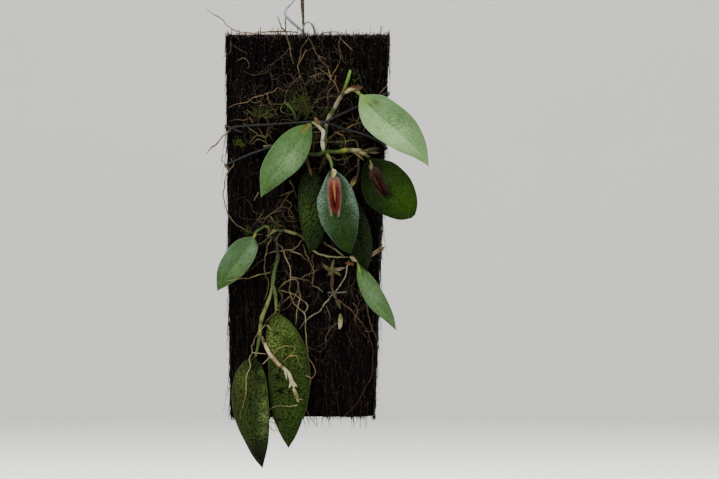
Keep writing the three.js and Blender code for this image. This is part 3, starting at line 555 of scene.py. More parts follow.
def leaf_material(name, freckle, dot, vein, mottle, roughness, gloss, grain):
    """freckle, vein and mottle are shares of darkening, dot the size of a freckle, grain the bumps in mm."""
    r = Recipe(name, roughness, Specular_IOR_Level=gloss)
    across = r.value("across")
    fine = r.noise(1150, 2)
    spots = r.math("MULTIPLY", r.dots(720, dot), r.span(r.noise(260, 2), 0.62 - dot, 0.78 - dot))
    blotch = r.span(r.noise(140, 4), 0.35, 0.7)
    lines = r.math("POWER", r.math("ABSOLUTE", r.math("SINE", r.math("MULTIPLY", across, 34.0))), 5.0)
    # A dark line down the middle of the midrib's groove: painted shade.
    midrib_shade = r.span(r.math("ABSOLUTE", across), 0.012, 0.06, 1.0, 0.0)
    spots = r.math("MULTIPLY", spots, r.value("spotted"))
    shade = r.mix(r.math("MULTIPLY", spots, freckle), r.paint(), (0.16, 0.22, 0.12), "MULTIPLY")
    shade = r.mix(r.math("MULTIPLY", blotch, mottle), shade, (0.5, 0.56, 0.36), "MULTIPLY")
    shade = r.mix(r.math("MULTIPLY", lines, vein), shade, srgb(170, 190, 146))
    shade = r.mix(r.math("MULTIPLY", midrib_shade, 0.6), shade, (0.45, 0.55, 0.35), "MULTIPLY")
    height = r.math("ADD", r.math("MULTIPLY", fine, 0.6), r.math("MULTIPLY", lines, 0.25))
    r.bump(r.math("SUBTRACT", height, r.math("MULTIPLY", spots, 0.5)), 0.55, grain)
    return r.finish(shade, r.span(r.noise(420, 2), 0.3, 0.7, roughness - 0.07, roughness + 0.12))


def plant_material(name):
    """A surface in its painted colour, with lengthwise streaks, dark flecks and pale scuffs."""
    roughness, streak, dark, pale, scale, gloss = FINISHES[name]
    r = Recipe(name, roughness, Specular_IOR_Level=gloss)
    fibres = r.noise(scale, 4, (1, 1, 0.22))
    flecks = r.noise(scale * 0.8, 4)
    shade = r.mix(r.span(fibres, 0.42, 0.72, 0.0, streak), r.paint(), srgb(*dark))
    shade = r.mix(r.span(flecks, 0.56, 0.76, 0.0, streak), shade, srgb(*pale))
    r.bump(r.math("ADD", fibres, flecks), 0.6, 0.18)
    return r.finish(shade, r.span(flecks, 0.3, 0.7, roughness - 0.1, roughness + 0.1))


# Wires

HOOK_RADIUS = 9
HANGER_WIRE = 1.8
TIE_WIRE = 1.3
STAPLE_WIRE = 1.1
STAPLE = [
    (13, -161, -7), (13, -161, 0.5), (13.4, -161, 2.3), (18.5, -161, 2.5), (24, -160.6, 2.3),
    (24.4, -160.6, 0.5), (24.4, -160.6, -7),
]


def hanger_route():
    """The hook's bow, the kinked shank, and the wire's turn inside the slab's top."""
    turn = math.pi * np.linspace(-0.25, 1, 10)
    centre = HANG_HEIGHT - HOOK_RADIUS + HANGER_WIRE / 2
    bow = [(HOOK_RADIUS * math.cos(a), centre + HOOK_RADIUS * math.sin(a)) for a in turn]
    shank = [(-8.6, 55), (-5, 48), (-1.5, 40), (-3.5, 31), (-9, 22), (-14.3, 14.3), (-11.5, 10)]
    in_slab = [(-3, 2.5), (0.6, -2.5), (1.6, -9), (4, -11.6), (6.2, -8), (6.2, -1.5), (4.6, 4), (3, 7)]
    return place([(x, z, FACE_Y) for x, z in [*bow, *shank, *in_slab]])


def tie_route():
    """Two turns round the slab that cross on the plant in front, and a tucked end."""
    proud = 2.4
    wrap = TIE_WIRE / 2 + 0.1
    sunk = -(SLAB_DEPTH - TIE_WIRE / 2 - 0.1)

    def turned(side, z, drop):
        x = slab_edge(side, z) + side * wrap
        return [(x, z, -1.5), (x, z - drop / 2, -SLAB_DEPTH / 2), (x, z - drop, -SLAB_DEPTH + 2.5)]

    upper = [
        (-49.5, -60.4, 3.8), (-46.5, -57.8, 4.2), (-42, -57, proud + 0.6), (-24.5, -56, proud),
        (-2, -54.6, proud), (7, -54.2, 4.4), (12, -54.8, 5.4), (17, -56.6, 4.6), (24, -59, proud),
        (36, -62.4, proud), (46.5, -67.5, 1.8),
    ]
    lower = [
        (-45, -78.4, 1.8), (-36, -74.5, proud), (-24.5, -70.4, proud), (-6, -62.4, proud), (5, -57.4, 5.2),
        (11.5, -54.3, 7.2), (17, -51.4, 6), (24, -48.2, proud + 0.4), (38, -41.6, proud), (46.5, -37.6, 1.8),
    ]
    back_down = [(40, -72, sunk), (0, -76, sunk), (-40, -79, sunk)]
    back_level = [(40, -40, sunk), (0, -48, sunk), (-40, -55, sunk)]
    end = [(-48.5, -57.6, proud - 0.4), (-45, -59.2, proud - 0.3), (-41.5, -60.6, proud - 0.3)]
    return place([
        *upper, *turned(1, -70, 1), *back_down, *turned(-1, -81, 1)[::-1],
        *lower, *turned(1, -36, 1), *back_level, *turned(-1, -56.5, 1)[::-1], *end,
    ])


def wire_material(name, tint, metallic, roughness, worn, dull):
    """A drawn wire: bright where it is rubbed, with dull grains and faint lengthwise drawing marks."""
    r = Recipe(name, roughness, Metallic=metallic)
    grains = r.noise(700, 4)
    shade = r.mix(r.span(grains, 0.45, 0.7, 0.0, 0.75), tuple(tint), srgb(*dull))
    shade = r.mix(r.span(r.noise(1900, 2), 0.58, 0.72, 0.0, 0.6), shade, srgb(*worn))
    r.bump(grains, 0.35, 0.12)
    return r.finish(shade, r.span(grains, 0.3, 0.7, roughness - 0.1, roughness + 0.18))


class ORCHID_OT_wires(bpy.types.Operator):
    """Makes the hanger, the tie round the slab and the staple"""

    bl_idname = "orchid.wires"
    bl_label = "Wires"

    def execute(self, context):
        look = context.scene.orchid.wire
        bare = plain(WHITE)
        steel = wire_material(
            "galvanised steel", look.galvanised, metallic=0.9, roughness=0.34, worn=(236, 238, 240),
            dull=(120, 124, 126),
        )
        hanger = rod(hanger_route(), [HANGER_WIRE / 2] * 2, bare, sides=14, step=0.8, lumps=0.02)
        new_piece("hanger_wire", hanger, steel, ["wire_hanger"])
        coat = wire_material(
            "tie wire coating", look.tie, metallic=0.0, roughness=0.6, worn=(56, 60, 52), dull=(16, 18, 16)
        )
        tie = rod(tie_route(), [TIE_WIRE / 2] * 2, bare, sides=10, step=1.0, lumps=0.06)
        new_piece("tie_round_slab", tie, coat, ["tie_wire"])
        staple = rod(place(STAPLE), [STAPLE_WIRE / 2] * 2, bare, sides=10, step=0.6, lumps=0.08)
        dull = wire_material(
            "staple steel", look.staple, metallic=0.6, roughness=0.5, worn=(140, 140, 134), dull=(58, 54, 46)
        )
        new_piece("staple", staple, dull, ["wire_staple"])
        return {"FINISHED"}


# Fibre slab

FIBRE_SEED = 23
# How many short strands lie on the front, and stand off the edges, the top and the foot
SPECKS = 2600
EDGE_FUZZ = 700
TOP_FUZZ = 1500
FOOT_FUZZ = 500


def slab_core():
    """The slab's body: upright furrows in front and at the sides, nearly flat behind."""
    front, side, rear, rows = 112, 26, 52, 150
    share = np.linspace(0, 1, rows + 1)[:, None]
    z = -share * SLAB_HEIGHT
    west, east = slab_edge(-1, z), slab_edge(1, z)
    f, s, b = (np.arange(n)[None] / n for n in (front, side, rear))
    x = np.hstack([west + (east - west) * f, east + 0 * s, east + (west - east) * b, west + 0 * s])
    depth = SLAB_DEPTH - 1
    out = np.hstack([0 * f + 0 * z, -depth * s + 0 * z, -depth + 0 * b + 0 * z, -depth * (1 - s) + 0 * z])
    column = np.arange(x.shape[1])
    in_front = column < front
    behind = (column >= front + side) & (column < front + side + rear)
    lane = np.where(in_front, x, out * 1.1 + 70)
    worn = 2.4 * ripple(lane / 2.6 + 9, z / 26 + 5) ** 1.5 + 1.1 * ripple(lane / 1.05, z / 9)
    worn = np.where(behind, worn * 0.25, worn)
    x = x - np.where(in_front | behind, 0, np.sign(x) * worn)
    out = np.where(in_front, out - worn, np.where(behind, out + worn, out))
    z = z + 0 * x + np.where(share < 0.01, ripple(x / 1.3, out / 1.3) * 2 - 1.4, 0)
    rings = np.stack([x, FACE_Y - out, z - HANG_HEIGHT], axis=-1)
    top, foot = (shrunk(rings[end], (0.86, 0.7, 0.5, 0.25, 0.01)) for end in (0, -1))
    for ring in (*top, *foot):
        ring[:, 2] += 1.6 * ripple(ring[:, 0] / 1.7, ring[:, 1] / 1.7) - 1.2
    rings = np.concatenate([top[::-1], rings, foot])
    return Shape(rings, ring_quads(len(rings) - 1, len(column)))


def tinted(random, count, dark, pale, power=1.6):
    """Random colours between two, most of them near the first."""
    share = random.random((count, 1)) ** power
    return np.array(dark) * (1 - share) + np.array(pale) * share


def across_slab(random, z):
    """A random place between the slab's edges at each height."""
    return slab_edge(-1, z) + (slab_edge(1, z) - slab_edge(-1, z)) * random.random(len(z))


def upright_fibres(random, look, start, way, reach, widths, power, bend):
    """Fibres with random radii and colours between those of the settings."""
    wide = look.fibre_radius / MM * random.uniform(*widths, len(start))
    paint = tinted(random, len(start), look.dark_fibre, look.pale_fibre, power)
    return strands(start, way, reach, wide, paint, random, bend)


def fibres_on_front(random, look, count):
    """Upright fibres over the front, some of them tangled, that keep within the slab's edges."""
    z = -SLAB_HEIGHT * random.random(count) ** 0.95 + 6
    x = across_slab(random, z)
    start = xyz(x, FACE_Y + 1.4 - 1.7 * random.random(count), z - HANG_HEIGHT)
    reach = np.minimum(random.uniform(10, 42, count), SLAB_HEIGHT + z + random.uniform(-2, 5, count) + 4)
    tangled = random.random(count) < 0.4
    lean = random.normal(0, 1, count) * np.where(tangled, 0.5, 0.1)
    reach = np.where(tangled, reach * 0.5, reach)
    room = np.minimum(x - slab_edge(-1, z), slab_edge(1, z) - x)
    lean = np.where(room < 12, -np.sign(x) * np.abs(lean) * 0.4, lean)
    reach = np.where(room < 3, reach * 0.5, reach)
    way = xyz(lean, random.normal(0, 0.025, count), -np.ones(count))
    return upright_fibres(random, look, start, way, np.maximum(reach, 4), (0.55, 1.5), power=2.4, bend=0.07)


def fibres_on_back(random, look, count):
    """Upright fibres that lie close against the back."""
    z = -SLAB_HEIGHT * random.random(count) + 3
    x = across_slab(random, z)
    start = xyz(x, FACE_Y + SLAB_DEPTH - random.uniform(0.5, 1.6, count), z - HANG_HEIGHT)
    reach = np.clip(random.uniform(10, 45, count), 3, SLAB_HEIGHT + z + 3)
    way = xyz(random.normal(0, 0.1, count), random.normal(-0.01, 0.006, count), -np.ones(count))
    return upright_fibres(random, look, start, way, reach, (0.6, 1.5), power=2, bend=0.03)


def fibres_at_sides(random, look, count):
    """Upright fibres along both narrow sides."""
    side = np.where(random.random(count) < 0.5, -1, 1)
    z = -SLAB_HEIGHT * random.random(count) + 4
    x = slab_edge(side, z) + side * random.uniform(-1.6, 0.3, count)
    y = FACE_Y + 1 + (SLAB_DEPTH - 2) * random.random(count)
    start = xyz(x, y, z - HANG_HEIGHT)
    reach = np.clip(random.uniform(5, 16, count), 2, SLAB_HEIGHT + z + 3)
    way = xyz(side * random.normal(0, 0.04, count), random.normal(0, 0.08, count), -np.ones(count))
    return upright_fibres(random, look, start, way, reach, (0.6, 1.6), power=2, bend=0.06)


def fuzz_on_edges(random, look, count):
    """Loose ends that stand off the slab's narrow sides."""
    side = np.where(random.random(count) < 0.5, -1, 1)
    z = -SLAB_HEIGHT * random.random(count)
    x = slab_edge(side, z) - side * 1.2
    start = xyz(x, FACE_Y + 0.5 + (SLAB_DEPTH - 1.5) * random.random(count), z - HANG_HEIGHT)
    aside = side * random.uniform(0.25, 1, count)
    way = xyz(aside, random.normal(0, 0.4, count), random.uniform(-1.6, 0.5, count))
    paint = tinted(random, count, look.dark_fibre, look.pale_fibre, 1.5)
    return strands(start, way, random.uniform(1.5, 5, count), 0.13, paint, random, bend=0.35)


def fuzz_on_top(random, look, count):
    """Short worn ends that stand up along the top."""
    x = slab_edge(-1, 0) + SLAB_TOP_WIDTH * random.random(count)
    y = FACE_Y + (SLAB_DEPTH - 2) * random.random(count) ** 1.4
    start = xyz(x, y, -HANG_HEIGHT - random.uniform(0.5, 2.5, count))
    way = xyz(random.normal(0, 0.45, count), random.normal(-0.1, 0.45, count), np.ones(count))
    paint = tinted(random, count, look.dark_fibre, look.edge_fibre, 0.7)
    reach, wide = random.uniform(1.2, 3.6, count), random.uniform(0.1, 0.26, count)
    return strands(start, way, reach, wide, paint, random, bend=0.3, steps=3)


def fuzz_at_foot(random, look, count):
    """Loose ends that hang in clumps from the foot."""
    x = slab_edge(-1, -SLAB_HEIGHT) + SLAB_BOTTOM_WIDTH * random.random(count)
    clump = ripple(x / 3.1, x / 7) ** 2
    y = FACE_Y + 0.6 + (SLAB_DEPTH - 1.4) * random.random(count)
    start = xyz(x, y, -HANG_HEIGHT - SLAB_HEIGHT + random.uniform(0.5, 4, count))
    way = xyz(random.normal(0, 0.25, count), random.normal(0, 0.25, count), -np.ones(count))
    paint = tinted(random, count, look.dark_fibre, look.pale_fibre, 1.8)
    reach = (1.5 + 9 * clump) * random.uniform(0.6, 1, count)
    return strands(start, way, reach, random.uniform(0.12, 0.26, count), paint, random)


def specks_on_front(random, look, count):
    """Short worn ends that catch the light, most of them near the top edge."""
    z = -SLAB_HEIGHT * random.random(count) ** 1.5
    x = across_slab(random, z)
    keep = ripple(x / 2.4, z / 14) > 0.42
    x, z = x[keep], z[keep]
    count = len(x)
    start = xyz(x, FACE_Y - random.uniform(-0.4, 0.3, count), z - HANG_HEIGHT)
    spread = ((0, 0.5), (-0.4, 0.3), (-0.6, 0.6))
    way = xyz(*(random.normal(middle, width, count) for middle, width in spread))
    paint = tinted(random, count, look.dark_fibre, look.edge_fibre, 0.9)
    reach = random.uniform(0.4, 1.3, count)
    return strands(start, way, reach, 0.2, paint, random, bend=0.3, steps=2, taper=0.6)


class ORCHID_OT_slab(bpy.types.Operator):
    """Makes the slab's furrowed body and the fibres on each of its faces"""

    bl_idname = "orchid.slab"
    bl_label = "Fibre slab"

    def execute(self, context):
        look = context.scene.orchid.slab
        random = np.random.default_rng(FIBRE_SEED)
        deep = Recipe("fern slab core", 0.95, Specular_IOR_Level=0.05)
        upright = deep.noise(520, 5, (1, 1, 0.08))
        grit = deep.noise(900, 4)
        shade = deep.mix(deep.span(upright, 0.4, 0.66), tuple(look.core), tuple(look.dark_fibre))
        shade = deep.mix(deep.span(upright, 0.6, 0.78, 0.0, 0.3), shade, tuple(look.pale_fibre))
        shade = deep.mix(deep.span(grit, 0.62, 0.8, 0.0, 0.35), shade, tuple(look.edge_fibre))
        deep.bump(deep.math("ADD", upright, grit), 1.0, 0.9)
        new_piece("fern_slab_core", slab_core(), deep.finish(shade), ["fern_slab"])
        wiry = plant_material("fern fibre")
        layers = {
            "fern_fibres_front": fibres_on_front(random, look, look.fibres),
            "fern_fibres_sides": fibres_at_sides(random, look, look.fibres // 2),
            "fern_fibres_back": fibres_on_back(random, look, look.fibres * 2 // 3),
            "fern_specks_front": specks_on_front(random, look, SPECKS),
            "fern_fuzz_edges": fuzz_on_edges(random, look, EDGE_FUZZ),
            "fern_fuzz_top": fuzz_on_top(random, look, TOP_FUZZ),
            "fern_fuzz_foot": fuzz_at_foot(random, look, FOOT_FUZZ),
        }
        for name, shape in layers.items():
            new_piece(name, shape, wiry)
        return {"FINISHED"}


# Stems, sheaths and bracts

# Points, radii spread evenly along, and (share of the length, colour) rows
STEMS = {
    "rhizome_upper": (
        [(-2, -74, 3.4), (7, -74.5, 3.4), (10.5, -73, 3.5), (19, -73, 3.3), (24, -72, 3.6),
         (31, -72.3, 3.4), (38, -73, 3), (44, -71, 2.6)],
        [1, 1.2, 1.3, 1.15, 1.45, 1.3, 1.05, 0.6],
        # The narrow yellow band at share 0.55 is a painted highlight.
        [(0, (34, 48, 16)), (0.3, (44, 66, 18)), (0.5, (74, 94, 28)), (0.55, (138, 130, 42)),
         (0.6, (56, 70, 24)), (0.68, (140, 132, 92)), (0.76, (90, 76, 48)), (0.84, (46, 52, 24)),
         (1, (34, 30, 20))],
    ),
    "rhizome_lower": (
        [(-25, -125.5, 3), (-21, -122.6, 3), (-15.5, -122, 2.9), (-8.5, -124, 2.9), (-4, -125.5, 2.7),
         (-2, -128, 2.4)],
        [0.75, 0.95, 0.8, 1, 0.8, 0.6],
        [(0, (66, 76, 34)), (0.1, (120, 118, 74)), (0.2, (118, 116, 74)), (0.26, (36, 52, 18)),
         (0.45, (34, 50, 18)), (0.54, (128, 132, 90)), (0.7, (108, 114, 66)), (0.76, (36, 48, 18)),
         (0.92, (66, 66, 34)), (1, (84, 70, 44))],
    ),
    "rhizome_branch": (
        [(-16, -122.4, 3), (-19, -127, 3.2), (-18.8, -133, 3.6)],
        [0.8, 0.85, 0.95],
        [(0, (24, 34, 12)), (1, (22, 28, 11))],
    ),
    "stem_1": (
        [(11, -70, 3.2), (11.3, -62, 3), (12, -55, 3.2), (14, -50.5, 4.6), (16, -47.5, 5.6),
         (19.5, -40.5, 8), (22, -37.5, 10), (24.5, -35.8, 12), (27, -34.4, 14), (30, -34.8, 15.5),
         (32, -36.6, 16)],
        [0.95, 1.05, 1.2, 1, 1.4, 1.2, 0.95, 0.95, 1.25, 1.1],
        [(0, (58, 80, 26)), (0.24, (52, 74, 26)), (0.28, (140, 134, 110)), (0.4, (150, 142, 118)),
         (0.44, (34, 58, 18)), (0.5, (40, 66, 22)), (0.54, (100, 88, 72)), (0.62, (146, 140, 120)),
         (0.7, (104, 88, 74)), (0.74, (28, 50, 16)), (0.78, (36, 60, 20)), (0.82, (204, 198, 168)),
         (0.92, (150, 152, 84)), (1, (124, 156, 72))],
    ),
    "left_shoot": (
        [(-7.2, -53, 1.4), (-9, -47.5, 2), (-11.5, -44.5, 2.2), (-14.2, -42.5, 2.4)],
        [0.66, 0.9, 0.81, 0.47],
        [(0, (24, 38, 13)), (0.6, (43, 72, 24)), (1, (66, 93, 35))],
    ),
    "stem_2": (
        [(9.9, -72.3, 4.8), (9.4, -66, 8), (9.8, -60.5, 9.8), (8.2, -58.6, 10.6), (6, -56.3, 11.4),
         (3.6, -55, 12.4)],
        [0.85, 1.2, 0.9, 1.15, 0.9, 0.85],
        [(0, (84, 104, 40)), (0.06, (188, 184, 150)), (0.3, (198, 198, 176)), (0.33, (54, 80, 26)),
         (0.37, (190, 190, 164)), (0.62, (214, 212, 190)), (0.7, (170, 168, 124)), (0.8, (186, 184, 136)),
         (1, (110, 150, 70))],
    ),
    "stem_3": (
        [(12.4, -74.6, 5.4), (14, -77.5, 8), (15, -80, 10), (15.3, -82.6, 11.8)],
        [0.9, 1.15, 1, 0.85],
        [(0, (96, 112, 48)), (0.3, (84, 112, 50)), (1, (76, 110, 56))],
    ),
    "stem_4": (
        [(-1.5, -75.6, 4.6), (-0.4, -78.4, 5.6), (0.8, -81.6, 6.6)],
        [0.9, 1.1, 0.9],
        [(0, (62, 58, 28)), (0.6, (52, 52, 24)), (1, (36, 50, 20))],
    ),
    "stem_5": (
        [(31.6, -74, 4), (32, -83, 6), (30.4, -90.5, 7.2), (27.6, -95.2, 8)],
        [0.6, 0.6, 0.65, 0.6],
        [(0, (14, 16, 7)), (0.5, (12, 15, 6)), (0.8, (34, 34, 14)), (1, (24, 30, 12))],
    ),
    "stem_6": (
        [(33, -73.6, 5), (35.5, -74.6, 6.6), (38, -76.2, 8.6)],
        [1.1, 1.2, 0.9],
        [(0, (140, 132, 92)), (0.4, (74, 80, 38)), (1, (46, 68, 22))],
    ),
    "stem_7": (
        [(-24, -124, 5), (-24.4, -120.4, 6.4), (-26.5, -119.6, 7), (-29, -121, 7.4), (-32, -123, 8),
         (-33.2, -125, 8.2)],
        [0.7, 0.85, 0.75, 0.75, 0.7],
        [(0, (56, 58, 30)), (0.3, (44, 62, 22)), (0.7, (48, 78, 28)), (1, (76, 106, 48))],
    ),
    "stem_9": (
        [(-18.8, -133, 3.6), (-18.4, -138.5, 4.4), (-20.4, -146.5, 5), (-21.4, -153, 5.6), (-22, -158, 6.4),
         (-23.6, -164, 8), (-26, -170.5, 9.4), (-28.6, -177.2, 10.6), (-29.5, -184.5, 12), (-30, -189, 13),
         (-31.2, -196, 15.4), (-32.2, -200.4, 16.6)],
        [0.92, 1.29, 1.1, 1.29, 1.01, 0.92, 1.1, 1.24, 1.01, 1.1, 0.87, 0.83],
        [(0, (22, 28, 11)), (0.07, (26, 34, 13)), (0.12, (44, 62, 22)), (0.3, (60, 84, 34)),
         (0.34, (32, 39, 16)), (0.36, (77, 99, 40)), (0.42, (84, 102, 42)), (0.5, (123, 134, 74)),
         (0.54, (58, 65, 30)), (0.57, (116, 125, 67)), (0.62, (104, 113, 58)), (0.67, (99, 104, 55)),
         (0.69, (30, 28, 16)), (0.71, (81, 102, 39)), (0.8, (86, 114, 40)), (0.82, (33, 35, 16)),
         (0.84, (58, 84, 25)), (1, (56, 81, 25))],
    ),
    "stem_9_arm": (
        [(-21.6, -155.5, 6), (-20.2, -161, 7.4), (-19.6, -167, 9), (-19.6, -171.6, 10)],
        [0.85, 1, 1, 0.75],
        [(0, (62, 78, 28)), (0.5, (56, 74, 26)), (0.8, (92, 100, 40)), (1, (70, 92, 30))],
    ),
}
# Solids that several stems make up
STEM_NODES = {
    "rhizome_lower": ["rhizome_lower", "rhizome_branch"],
    "stem_9_and_10": ["stem_9", "stem_9_arm"],
}
NEW_SHOOT = (
    [(21.8, -36.4, 10.6), (23.8, -32, 11.8), (25.3, -27.6, 12.6), (26.6, -23, 13)],
    [0.7, 0.95, 1.1, 0.8],
    [(0, (96, 74, 46)), (0.25, (84, 92, 38)), (0.5, (76, 116, 36)), (0.8, (92, 136, 44)),
     (1, (112, 152, 62))],
)

SLEEVE_WALL = 0.12
SLIVER_WALL = 0.26
# Papery sleeves: stem, shares of its length from foot to mouth, how far it stands off, colour
SHEATHS = [
    ("stem_1", 0.26, 0.42, 0.08, (148, 142, 118)),
    ("stem_1", 0.52, 0.71, 0.08, (126, 118, 98)),
    ("stem_1", 0.8, 0.9, 0.15, (180, 168, 122)),
    ("stem_2", 0.04, 0.3, 0.1, (192, 192, 168)),
    ("stem_2", 0.37, 0.62, 0.1, (198, 198, 176)),
    ("stem_2", 0.68, 0.84, 0.15, (176, 172, 124)),
    ("rhizome_upper", 0.64, 0.74, 0.12, (142, 134, 96)),
    ("rhizome_lower", 0.08, 0.2, 0.06, (112, 112, 72)),
    ("rhizome_lower", 0.52, 0.72, 0.06, (96, 104, 62)),
    ("stem_3", 0.05, 0.4, 0.15, (104, 116, 52)),
    ("stem_9", 0.3, 0.36, 0.1, (66, 80, 30)),
    ("stem_9", 0.44, 0.54, 0.1, (112, 124, 64)),
    ("stem_9", 0.56, 0.67, 0.1, (104, 114, 56)),
    ("stem_9", 0.7, 0.81, 0.12, (94, 114, 44)),
    ("stem_9_arm", 0.1, 0.5, 0.12, (66, 80, 30)),
    ("stem_7", 0.1, 0.4, 0.06, (60, 72, 30)),
    ("stem_6", 0.1, 0.6, 0.15, (120, 112, 72)),
    ("stem_5", 0.1, 0.45, 0.05, (14, 14, 8)),
]

# Dry bracts and slivers: foot, tip, width, colour
BRACTS = {
    "leaf_1_spathe": [((33.4, -37.4, 17.6), (39.7, -43.9, 22.2), 1.3, (126, 163, 62))],
    "leaf_2_spathe": [((1.6, -55.8, 14), (-5.8, -62.2, 19.6), 2.6, (107, 98, 43))],
    "arch_bracts": [
        ((28, -34, 15.4), (34.6, -33.2, 18.6), 3.4, (77, 47, 25)),
        ((24.6, -34.8, 13.4), (33.6, -32.8, 18), 3, (94, 63, 36)),
        ((7.4, -55.8, 12.8), (4.2, -51.4, 13.8), 2.6, (104, 72, 40)),
    ],
    "leaf_4_spathe": [((1.2, -82.6, 7.4), (2.6, -88.4, 10), 1.7, (87, 63, 32))],
    "leaf_7_spathe": [((-32.3, -124.4, 9.4), (-34, -127.4, 11.4), 1.5, (128, 132, 48))],
    "leaf_8_spathe": [((31.4, -142.6, 9.4), (33.2, -149.4, 13), 1.4, (122, 163, 60))],
    "rhizome_bracts": [
        ((29.6, -73.6, 5.4), (35.6, -78.6, 7.6), 1.3, (96, 80, 46)),
        ((36, -72, 4.4), (43.5, -70.2, 3.6), 1.2, (70, 60, 36)),
        ((39, -73.4, 3.6), (45.5, -73.6, 3.2), 1.4, (77, 61, 43)),
    ],
    "stem_5_bract": [
        ((29.6, -90, 8.6), (26.6, -95.8, 10), 2.8, (112, 108, 46)),
        ((31, -88.4, 8.4), (27.6, -91.6, 9.4), 1.8, (54, 48, 24)),
    ],
    "plantlet_bracts": [
        ((29, -143.4, 5), (23.2, -142.2, 4.4), 2.2, (94, 54, 33)),
        ((42, -136, 5), (49.4, -131.4, 5.4), 0.9, (84, 62, 46)),
        ((42, -136, 4.6), (48.2, -134.6, 5), 0.7, (70, 50, 36)),
        ((43, -135.4, 5.4), (47.2, -130.6, 6.4), 0.7, (104, 82, 62)),
        ((28, -139.6, 6.4), (33, -141.4, 7.4), 3, (189, 172, 134)),
    ],
    "stump_bracts": [
        ((18.6, -146.8, 3), (23.6, -145.2, 3.2), 1.6, (114, 113, 90)),
        ((14, -147, 4), (9, -142.6, 3.4), 1.8, (70, 73, 34)),
        ((15, -146, 4.4), (16.6, -139.6, 5), 1.8, (77, 77, 39)),
        ((16, -147, 4.4), (12.2, -150.4, 4.6), 1.9, (65, 64, 31)),
        ((17, -147.6, 4), (21.2, -150.6, 4), 1.7, (83, 73, 44)),
        ((15.4, -159, 2.6), (18.6, -166.4, 3.2), 2.2, (50, 50, 23)),
        ((18.4, -165.4, 2.8), (20.6, -171.4, 3.2), 2.4, (59, 58, 27)),
    ],
    "old_stem_tatters": [
        ((-14, -208.6, 15.4), (-12.6, -215.6, 15.6), 1.5, (164, 167, 120)),
        ((-9.4, -216.4, 15.6), (-6.4, -219.4, 16.8), 1.7, (189, 190, 153)),
        ((-10, -216.6, 15.4), (-11.4, -220.4, 16.4), 1.3, (194, 197, 163)),
        ((-8.8, -217, 15.6), (-8.2, -221, 16.8), 1.5, (181, 179, 140)),
    ],
}


def sliver(foot, tip, width, tint):
    """A dry, cupped and pointed scale between two plan points."""
    start, end = place([foot, tip])
    along = unit(end - start)
    side = unit(np.cross(along, (0, 1, 0)))
    up = np.cross(side, along)
    rows, columns = 14, 9
    u = np.linspace(0, 1, rows + 1)[:, None]
    v = np.concatenate([np.linspace(-1, 1, columns), np.linspace(1, -1, columns)])[None]
    thick = np.repeat([SLIVER_WALL / 2, -SLIVER_WALL / 2], columns)[None]
    spread = width / 2 * np.sin(math.pi * (0.16 + 0.84 * u) ** 0.8) ** 0.8 + 0.04
    cup = -0.35 * width * v**2 * np.sin(math.pi * np.clip(u + 0.1, 0, 1))
    cup = cup + 0.1 * width * np.sin(3 * math.pi * u)
    frayed = 1 + 0.25 * (ripple(u * 7 + foot[0], v * 2 + foot[1]) - 0.5)
    length_up = (u * np.linalg.norm(end - start))[..., None] * along
    points = start + length_up + (spread * v * frayed)[..., None] * side + (cup + thick)[..., None] * up
    darker = tuple(int(c * 0.7) for c in tint)
    paint = np.repeat(stops(u[:, 0], [(0, tint), (0.7, tint), (1, darker)]), v.size, axis=0)
    return Shape(points, ring_quads(rows, v.size), paint)


def sleeve(stem, start, end, proud, tint):
    """A thin papery sleeve round a stretch of a stem, with a slanting torn mouth."""
    rows, around, turned_in = 15, 12, 6
    points, radii, _ = STEMS[stem]
    shares = np.linspace(start, end, rows)
    line = spline(place(points), shares)[:, None]
    tangent = unit(np.gradient(line[:, 0], axis=0))
    spoke = spokes(tangent, around)
    t = np.linspace(0, 1, rows)
    angle = np.linspace(0, 2 * math.pi, around, endpoint=False)
    radius = (smooth(radii, shares) + 0.08 + proud * t**1.5)[:, None, None]
    slant = 1.1 * (t**6)[:, None] * (np.cos(angle)[None] + 0.6 * np.sin(3 * angle)[None])
    torn = slant[..., None] * tangent[:, None]
    outer, inner = (line + spoke * reach + torn for reach in (radius, radius - SLEEVE_WALL))
    rings = np.concatenate([outer, inner[::-1][:turned_in]])
    shade = np.concatenate([t, t[::-1][:turned_in]])
    dull = tuple(int(c * 0.72) for c in tint)
    paint = stops(shade, [(0, dull), (0.12, tint), (0.85, tint), (1, dull)])
    return Shape(rings, ring_quads(len(rings) - 1, around), np.repeat(paint, around, axis=0))


class ORCHID_OT_stems(bpy.types.Operator):
    """Makes the creeping stems, the leaf stalks, their papery sleeves and the dry bracts"""

    bl_idname = "orchid.stems"
    bl_label = "Stems and sheaths"

    def execute(self, context):
        skin = plant_material("stem skin")
        paper = plant_material("papery sheath")
        fresh = plant_material("fresh shoot")
        shapes = {}
        for stem, (points, radii, table) in STEMS.items():
            shapes[stem] = rod(place(points), radii, table, sides=14, step=0.6, lumps=0.05)
        grouped = {name for names in STEM_NODES.values() for name in names}
        for stem, shape in shapes.items():
            if stem not in grouped and stem != "left_shoot":
                new_piece(f"{stem}_skin", shape, skin, [stem])
        for node, names in STEM_NODES.items():
            new_piece(f"{node}_skin", joined([shapes[name] for name in names]), skin, [node])
        new_piece("left_shoot_skin", shapes["left_shoot"], fresh, ["left_shoot"])
        points, radii, table = NEW_SHOOT
        shoot = rod(place(points), radii, table, sides=12, step=0.6)
        new_piece("new_shoot_skin", shoot, fresh, ["new_shoot"])
        new_piece("stem_sheaths", joined([sleeve(*row) for row in SHEATHS]), paper)
        for name, rows in BRACTS.items():
            new_piece(name, joined([sliver(*row) for row in rows]), paper)
        return {"FINISHED"}
